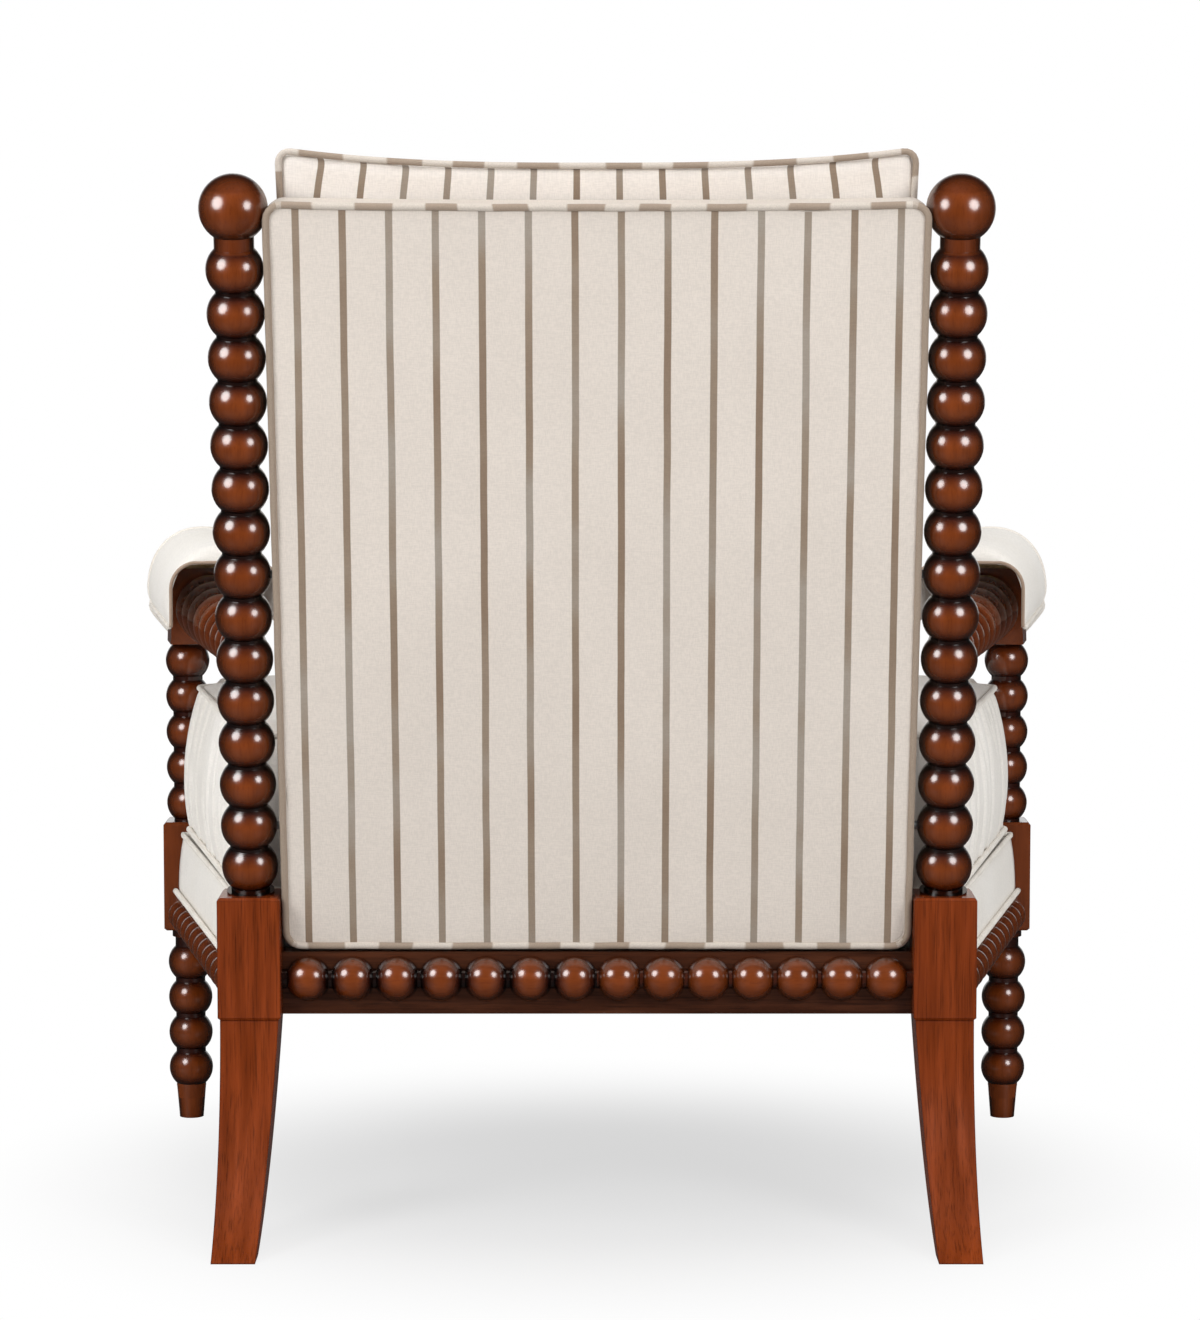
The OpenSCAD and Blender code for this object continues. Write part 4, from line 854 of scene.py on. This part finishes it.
def on_back_seam(co):
    """Whether a place lies on one of the two seams."""
    depth, height = leaning_depth(co)
    near = min(abs(depth - CUSHION_REAR + rolled(height)), abs(depth - CUSHION_REAR + CUSHION_T))
    beside = abs(co[0]) > CUSHION_W / 2 - mm(16)
    end = height > CUSHION_HIGH - mm(34) - lean_drop or height < CUSHION_LOW + mm(9)
    return near < mm(4) and (beside or end)


def back_stuffing(co, normal):
    """Crowns the front panel, rounds the box at its sides and rolls the rear in near its top."""
    depth, height = leaning_depth(co)
    forward = min(1.0, max(0.0, (CUSHION_REAR - depth) / CUSHION_T))
    across = min(1.0, abs(co.x) * 2 / CUSHION_W)
    up = (height - CUSHION_LOW) / (CUSHION_HIGH - lean_drop * forward - CUSHION_LOW)
    along = min(1.0, abs(2 * up - 1))
    crown = mm(33) * (1 - across ** 2.6) * (1 - along ** 2.6) * max(0.0, forward - 0.5) * 2
    side = mm(4) * 4 * forward * (1 - forward) * across ** 12
    shift = crown + max(0.0, rolled(height) * (1 - forward) - (CUSHION_REAR - depth))
    return Vector((math.copysign(side, co.x), -shift * math.cos(RAKE), shift * math.sin(RAKE)))


def back_cap(co):
    """The front panel may move further than the rest."""
    depth, height = leaning_depth(co)
    forward = (CUSHION_REAR - depth) / CUSHION_T
    return mm(5) if forward > 0.8 else mm(2.5)


puff(back_cushion, back_stuffing, back_cap, on_back_seam)
subdivide(back_cushion)


def cushion_across(p):
    """Metres across the cloth. The stripes lie a little closer near the top of the rear."""
    depth, height = leaning_depth(p)
    rear = max(0.0, 1 - 6 * (CUSHION_REAR - rolled(height) - depth) / CUSHION_T)
    lift = rear * max(0.0, (height - mm(640)) / mm(45))
    return p.x * (1.062 + 0.034 * lift) + mm(1) + STRIPE_STEP * 20


count_across(back_cushion, cushion_across)
settle(back_cushion, "back_cushion_body", "back_cushion", fill=0.75, slot="striped_linen")

for name, depth, drop in (("back_cushion_rear_cord", CUSHION_REAR - mm(1.5), 0.0),
                          ("back_cushion_front_cord", CUSHION_REAR - CUSHION_T + mm(1.5), lean_drop)):
    path = [leaning(x, depth - (0.0 if drop else rolled(z)), z)
            for x, z in cushion_loop(mm(1.6), drop, mm(12), mm(5))]
    welt(name, path, mm(3.0), STRIPED_WELT, "back_cushion_body", slot="striped_linen")

# %% [markdown]
# ### Seat cushion
# A T-shaped bag: its front comes forward between the legs. The box round it is gathered, so fine
# pleats run from the top welt to the bottom one.

# %% Seat cushion
SEAT_BASE = mm(311.7)
SEAT_H = mm(147)
PLEAT_PERIOD = mm(24)
PLEAT_DEPTH = mm(6.5)
seat_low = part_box("seat_cushion")[0]
SEAT_FRONT = seat_low.y + mm(1)
NOTCH_Y = LEG_Y + mm(24.5 + 6)


def seat_corners(up):
    """Corners of the seat cushion's plan, anticlockwise from above. Its wings are widest at the
    foot, up 0, and drawn in at the top, up 1."""
    wing, rear = mm(426 - 12 * up), mm(338 - 8 * up)
    half = [Vector((mm(395), SEAT_FRONT)), Vector((mm(395), NOTCH_Y)), Vector((wing, NOTCH_Y + mm(12))),
            Vector((rear, block_low.y - mm(4))), Vector((mm(276), block_low.y - mm(4))),
            Vector((mm(268), block_low.y + mm(16)))]
    return half + [Vector((-v.x, v.y)) for v in reversed(half)]


def inset_corners(corners, inset):
    """The corners of a polygon moved inwards."""
    moved = []
    for i, c in enumerate(corners):
        before = (c - corners[i - 1]).normalized()
        after = (corners[(i + 1) % len(corners)] - c).normalized()
        inward = Vector((-before.y - after.y, before.x + after.x))
        moved.append(c + inward * (2 / inward.length_squared) * inset)
    return moved


def seat_loop(inset, up, step=mm(9)):
    """The plan with its corners rounded, with as many points at each height."""
    corners, middle = inset_corners(seat_corners(up), inset), seat_corners(0.5)
    count = len(corners)
    radius = [min(mm(9), 0.45 * (c - corners[i - 1]).length, 0.45 * (corners[(i + 1) % count] - c).length)
              for i, c in enumerate(corners)]
    loop = []
    for i, c in enumerate(corners):
        b = corners[(i + 1) % count]
        into, away = (c - corners[i - 1]).normalized(), (b - c).normalized()
        start, end = c - into * radius[i], c + away * radius[i]
        for k in range(5):
            t = k / 4
            loop.append(start * (1 - t) ** 2 + c * (2 * t * (1 - t)) + end * t ** 2)
        stop = b - away * radius[(i + 1) % count]
        n = max(1, round((middle[(i + 1) % count] - middle[i]).length / step))
        loop += [end.lerp(stop, k / n) for k in range(1, n)]
    return loop


seat_rings = [[Vector((p.x, p.y, SEAT_BASE + SEAT_H * k / 8)) for p in seat_loop(mm(3), k / 8)]
              for k in range(9)]
seat_cushion = loft("seat_cushion_bag", seat_rings, PLAIN_LINEN)
seat_outline = np.array([(p.x, p.y) for p in seat_loop(mm(3), 0.5, mm(4))])


def edge_distance(co):
    """How far a place lies from the outline of the plan."""
    return float(np.min(np.hypot(seat_outline[:, 0] - co[0], seat_outline[:, 1] - co[1])))


def on_seat_seam(co):
    """Whether a place lies on one of the two seams."""
    near = min(abs(co[2] - SEAT_BASE), abs(co[2] - SEAT_BASE - SEAT_H))
    return near < mm(4) and edge_distance(co) < mm(11)


def seat_stuffing(co, normal):
    """Crowns the top, presses the foot a little down and rounds the box out."""
    t = min(1.0, max(0.0, (co.z - SEAT_BASE) / SEAT_H))
    inside = 1 - math.exp(-edge_distance(co) / mm(70))
    lift = mm(21) * inside * max(0.0, t - 0.5) * 2 - mm(3.5) * inside * max(0.0, 0.5 - t) * 2
    out = Vector((normal.x, normal.y, 0))
    swell = mm(11) * (1 - abs(2 * t - 1) ** 2.4) * (1 - inside) ** 2
    return out * swell + Vector((0, 0, lift))


def seat_cap(co):
    """The upper half may move further than the lower one."""
    return mm(5) if (co[2] - SEAT_BASE) / SEAT_H > 0.5 else mm(2.5)


puff(seat_cushion, seat_stuffing, seat_cap, on_seat_seam)
subdivide(seat_cushion)


def gather(piece):
    """Draws fine upright pleats into the box of the cushion, deepest near the seams."""
    closed = np.vstack([seat_outline, seat_outline[:1]])
    lengths = np.concatenate([[0], np.cumsum(np.hypot(*np.diff(closed, axis=0).T))])[:-1]
    for v, n in [(v, v.normal.copy()) for v in piece.data.vertices]:
        t = (v.co.z - SEAT_BASE) / SEAT_H
        if not 0.0 < t < 1.0 or abs(n.z) > 0.75:
            continue
        k = int(np.argmin(np.hypot(seat_outline[:, 0] - v.co.x, seat_outline[:, 1] - v.co.y)))
        s = lengths[k] + Vector((v.co.x - seat_outline[k, 0], v.co.y - seat_outline[k, 1])).dot(
            Vector(seat_outline[(k + 1) % len(seat_outline)] - seat_outline[k]).normalized())
        wander = mm(7) * noise.noise(Vector((s * 14, t * 1.6, 5.0)))
        wave = noise.noise(Vector(((s + wander) / PLEAT_PERIOD, t * 0.9, 1.5)))
        pleat = 0.5 * wave - max(0.0, 1 - abs(wave) * 5) ** 1.5
        deep = 0.55 + 0.45 * abs(2 * t - 1) ** 1.5
        ends = min(1.0, t / 0.04, (1 - t) / 0.04)
        v.co += n * (PLEAT_DEPTH * pleat * deep * ends)


gather(seat_cushion)
settle(seat_cushion, "seat_cushion_body", "seat_cushion", fill=0.85)
for name, up in (("seat_cushion_top_cord", 1.0), ("seat_cushion_bottom_cord", 0.0)):
    path = [Vector((p.x, p.y, SEAT_BASE + SEAT_H * up)) for p in seat_loop(mm(1.6), up, mm(5))]
    welt(name, path, mm(3.0), PLAIN_WELT, "seat_cushion_body")

# %% [markdown]
# ## Deck
# The springs are covered by a pad with its own upright border and two welts, one at the top edge
# and one above the bobbin strips. The border is stretched, so it bulges only a little.

# %% Deck
deck_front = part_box("deck_cover")[0].y
SLOPE = (side_line[1].x - side_line[0].x) / (side_line[0].y - side_line[1].y)


def deck_corners(inset):
    """Corners of the deck's plan, inset from its border's foot."""
    def side_x(y):
        return side_line[0].x + (side_line[0].y - y) * SLOPE + (mm(4) - inset) * math.hypot(1, SLOPE)
    front, notch, wing = deck_front + inset, LEG_Y + mm(25) + inset, block_low.y - mm(0.5) - inset
    near_x, rear_x = LEG_X - mm(25) - inset, POST_X - mm(29.5) + inset
    rear = block_low.y - mm(9) - inset
    half = [(near_x, front), (near_x, notch), (side_x(notch), notch), (side_x(wing), wing),
            (rear_x, wing), (rear_x, rear)]
    return [Vector(v) for v in half] + [Vector((-x, y)) for x, y in reversed(half)]


def deck_loop(inset, step=mm(12)):
    """The plan of the deck, with as many points at each inset."""
    corners, foot = deck_corners(inset), deck_corners(0.0)
    loop = []
    for i, c in enumerate(corners):
        following = (i + 1) % len(corners)
        n = max(1, round((foot[following] - foot[i]).length / step))
        loop += [c.lerp(corners[following], k / n) for k in range(n)]
    return loop


DECK_STEPS = [(10, 241), (1.0, 240.6), (0.2, 242), (0.0, 250), (0.4, 262), (1.2, 275), (2.6, 288),
              (4.0, 297), (5.0, 300), (7.0, 300.8), (12, 301)]
deck_rings = [[Vector((p.x, p.y, mm(z))) for p in deck_loop(mm(inset))] for inset, z in DECK_STEPS]
deck = loft("deck_cover_cloth", deck_rings, PLAIN_LINEN)
settle(deck, "chair", "deck_cover", "deck_pad", fill=0.8)
top_path = [Vector((p.x, p.y, mm(303))) for p in deck_loop(mm(4.4), mm(6))]
welt("deck_top_cord", top_path, mm(2.9), PLAIN_WELT, "chair", "deck_top_welt")
CORD_Z = mm(243.6)
low_paths = {}
for word, side in (("right", -1), ("left", 1)):
    start = Vector((side * side_line[0].x, side_line[0].y - mm(1), CORD_Z))
    end = Vector((side * side_line[1].x, side_line[1].y + mm(1), CORD_Z))
    out = Vector((side_axis.y, -side_axis.x, 0)) * (-mm(7.2) * side)
    waves = [mm(0.4) * noise.noise(Vector((k * 0.4, side, 0))) for k in range(61)]
    low_paths[word] = [start.lerp(end, k / 60) + out + Vector((0, 0, wave))
                       for k, wave in enumerate(waves)]
front_y = deck_front - mm(3.3)
low_paths["front"] = [Vector((x, front_y, CORD_Z)) for x in np.linspace(mm(-401), mm(401), 120)]
for word, path in low_paths.items():
    replaced = ["deck_bottom_welt"] if word == "right" else []
    welt("deck_bottom_cord_" + word, path, mm(3), PLAIN_WELT, "chair", *replaced, closed=False)

# %% [markdown]
# ## Dust cover
# A thin black cloth stapled under the frame keeps dust out of the springs. It hangs about a
# millimetre between its edges.

# %% Dust cover
DUST = mottled("black_dust_cloth", "#211f1f", "#2e2c2c", 2, Roughness=0.95)
dust_lo, dust_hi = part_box("dust_cover")
grid_x, grid_y = 48, 34
points, faces = [], []
for j in range(grid_y + 1):
    y = dust_lo.y + mm(2) + (dust_hi.y - dust_lo.y - mm(24)) * j / grid_y
    half = side_line[0].x + (side_line[0].y - y) * SLOPE - mm(14)
    if y < LEG_Y + mm(26):
        half = min(half, LEG_X - mm(26))
    for i in range(grid_x + 1):
        t = 2 * i / grid_x - 1
        edge = (1 - t * t) * 4 * (j / grid_y) * (1 - j / grid_y)
        points.append((half * t, y, dust_lo.z + mm(0.6) - mm(1.2) * edge))
for j in range(grid_y):
    for i in range(grid_x):
        a = j * (grid_x + 1) + i
        faces.append((a, a + grid_x + 1, a + grid_x + 2, a + 1))
dust = new_piece("dust_cloth", points, faces, DUST)
settle(dust, "chair", "dust_cover", flat=(mm(830), mm(500)), slot="dust_cloth")

# %% [markdown]
# ## Arm pads
# Each arm carries a saddle of foam on a board, covered in the plain linen. Its skin is
# lofted along the arm: an oval outside, an arch inside, hems at the lower edges, and a rounded
# rear end that closes down to the arch. A separate facing covers the front of the arm block.

# %% Arm pads
PAD_FRONT, PAD_REAR = mm(-26.2), mm(250)
HALF_W, CHANNEL, PAD_TOP, PAD_ROOF, HEM = mm(58.5), mm(53.5), mm(79), mm(61), mm(-2.5)


def eased(value):
    """A sine or cosine that makes a circle a little squarer."""
    return math.copysign(abs(value) ** 0.9, value)


def outer_arch(count):
    """Across and up places over the outside of the pad, from hem to hem."""
    places = []
    for k in range(count + 1):
        a = math.pi * (1.18 * k / count - 0.09)
        x = HALF_W * eased(math.cos(a))
        up = mm(12) + (PAD_TOP - mm(12)) * eased(math.sin(a))
        if up < mm(12):
            up = mm(12) + (mm(12) - HEM) * math.sin(a) / math.sin(math.pi * 0.09)
            x = math.copysign(HALF_W - mm(4) * (mm(12) - up) / (mm(12) - HEM), x)
        places.append((x, up))
    return places


def inner_arch(count):
    """Places over the channel, from one hem to the other."""
    places = []
    r = mm(26)
    for k in range(count + 1):
        t = k / count
        if t < 0.3:
            places.append((CHANNEL, HEM + (PAD_ROOF - r - HEM) * t / 0.3))
        elif t <= 0.7:
            a = math.pi * (t - 0.3) / 0.4
            side = math.cos(a)
            x = math.copysign(CHANNEL - r + r * abs(side), side)
            if abs(side) < 0.02:
                x = 0
            places.append((x, PAD_ROOF - r + r * math.sin(a)))
        else:
            places.append((-CHANNEL, PAD_ROOF - r - (PAD_ROOF - r - HEM) * (t - 0.7) / 0.3))
    return places


def pad_ring(along, round_in, side):
    """One closed section. round_in runs from 0, full, to 1, where the skin meets the arch."""
    inner = inner_arch(44)
    ring = [(ox + (ix - ox) * round_in, oz + (iz - oz) * round_in)
            for (ox, oz), (ix, iz) in zip(outer_arch(44), inner)]
    ring += [(ix * 0.998, iz - mm(0.3)) for ix, iz in reversed(inner)]
    return [on_arm(side, along, -x, z) for x, z in ring]


def rounded(points):
    """Cuts every inner corner of a line of points."""
    cut = [points[0]]
    for (ax, az), (bx, bz) in zip(points, points[1:]):
        cut += [(ax + (bx - ax) * t, az + (bz - az) * t) for t in (0.25, 0.75)]
    return cut + [points[-1]]


FACING_STEPS = [(0.96, -26.4), (0.975, -28), (0.975, -38), (0.96, -42), (0.93, -43.6), (0.85, -44.1),
                (0.6, -44.2), (0.3, -44.2)]
FACING_FOOT = [(-57, -4), (-56, -9), (-45, -23), (-31, -38.8), (31, -38.8), (45, -23), (56, -9), (57, -4)]
for side, word in ((1, "left"), (-1, "right")):
    stations = [(PAD_FRONT + mm(x), t) for x, t in ((0, 0.25), (1.2, 0.1), (4, 0.02), (9, 0))]
    stations += [(PAD_FRONT + mm(9) + (PAD_REAR - mm(33) - PAD_FRONT) * k / 16, 0) for k in range(1, 17)]
    for k in range(1, 9):
        a = math.pi / 2 * k / 8
        stations.append((PAD_REAR - mm(24) + mm(24) * math.sin(a), 0.92 * (1 - math.cos(a))))
    rings = [pad_ring(along, round_in, side) for along, round_in in stations]
    if side < 0:
        rings = [list(reversed(r)) for r in rings]
    pad = loft(word + "_arm_pad_saddle", rings, PLAIN_LINEN, cap="strip")
    subdivide(pad)
    settle(pad, "chair", word + "_arm_pad", fill=0.8)

    outline = [(x, z) for x, z in outer_arch(44) if z > 0]
    outline += [(mm(x), mm(z)) for x, z in rounded(rounded(FACING_FOOT))]

    def shrunk(along, scale):
        return [on_arm(side, mm(along), -x * scale, (z - mm(20)) * scale + mm(20)) for x, z in outline]

    facing = [shrunk(along, scale) for scale, along in FACING_STEPS]
    if side > 0:
        facing = [list(reversed(r)) for r in facing]
    face = loft(word + "_arm_pad_facing", facing, PLAIN_LINEN)
    face.data.materials.append(LINING)
    for polygon in face.data.polygons:
        if len(face.data.vertices) - 2 in polygon.vertices:
            polygon.material_index = 1
    settle(face, "chair", fill=0.8)

    welt(word + "_arm_facing_cord", shrunk(-41.5, 0.96), mm(2.6), PLAIN_WELT, "chair")
    hem = [on_arm(side, mm(-26) + mm(274) * k / 60, -HALF_W + mm(3), HEM + mm(1)) for k in range(61)]
    welt(word + "_arm_hem_cord", hem, mm(2.2), PLAIN_WELT, "chair", closed=False)
    arch = [on_arm(side, PAD_REAR - mm(1), -x, z + mm(1)) for x, z in inner_arch(60)]
    welt(word + "_arm_arch_cord", arch, mm(1.8), LINING, "chair", closed=False)

# %% [markdown]
# ## Last settings
# Standard view keeps the colours as they were written.

# %% Finish
bpy.context.scene.view_settings.view_transform = "Standard"
